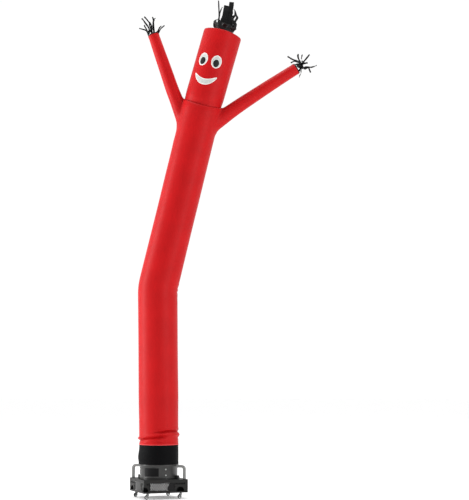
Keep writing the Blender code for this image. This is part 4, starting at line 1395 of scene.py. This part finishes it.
def make_floor():
    bm = bmesh.new()
    bmesh.ops.create_grid(bm, x_segments=1, y_segments=1, size=60)
    mesh = bpy.data.meshes.new("floor")
    bm.to_mesh(mesh)
    bm.free()
    material, tree, shader = shader_of("studio_floor")
    fill(tree, shader, {
        "Base Color": (0.90, 0.90, 0.90, 1),
        "Roughness": 0.8,
        "Specular IOR Level": 0.05,
        "Emission Color": (1, 1, 1, 1),
        "Emission Strength": 0.22})
    mesh.materials.append(material)
    link_object("floor", mesh)


def make_sky():
    """White all round, with a dimmer patch high in front, as in a room lit from its sides."""
    world = bpy.data.worlds.new("studio")
    bpy.context.scene.world = world
    world.use_nodes = True
    tree = world.node_tree
    sky = add_node(tree, "ShaderNodeTexCoord").outputs["Generated"]
    way = add_node(tree, "ShaderNodeSeparateXYZ", {"Vector": sky})
    front = spread(tree, calc(tree, "MULTIPLY", way.outputs["Y"], -1.0), 0.15, 0.75, 0.0, 1.0)
    high = spread(tree, way.outputs["Z"], 0.10, 0.30, 0.0, 1.0)
    dim = calc(tree, "MULTIPLY", front, high)
    fill(tree, tree.nodes["Background"], {
        "Color": (1, 1, 1, 1),
        "Strength": spread(tree, dim, 0.0, 1.0, 1.02, 0.25)})


Light = namedtuple("Light", "name place target width height power")
LIGHTS = (
    Light("key", (-8.4, -0.3, 3.6), (-0.4, 0, 3.0), 2.2, 7.0, 640),
    Light("side", (5.2, -4.6, 3.6), (-0.4, 0, 3.0), 1.6, 6.0, 200),
    Light("top", (-0.5, 0.5, 9.0), (-0.5, 0.2, 0.0), 6.0, 6.0, 260),
)


def make_light(light):
    data = bpy.data.lights.new(light.name, "AREA")
    data.shape = "RECTANGLE"
    data.size = light.width
    data.size_y = light.height
    data.energy = light.power
    item = link_object(light.name, data)
    item.location = light.place
    way = Vector(light.target) - Vector(light.place)
    item.rotation_euler = way.to_track_quat("-Z", "Y").to_euler()


def make_studio():
    make_floor()
    make_sky()
    for light in LIGHTS:
        make_light(light)


def make_camera():
    """Camera at the photograph's place: 16 m away, 1.45 m up, looking up by five degrees."""
    data = bpy.data.cameras.new("camera")
    data.sensor_width = 36.0
    data.lens = 98.78
    camera = link_object("camera", data)
    camera.location = (0.115, -16.2, 1.45)
    camera.rotation_euler = (math.radians(90 + 5.115), 0, 0)
    bpy.context.scene.camera = camera


make_camera()
make_dancer()
make_blower()
finish_nodes()
make_studio()
bpy.context.scene.view_settings.view_transform = "Standard"
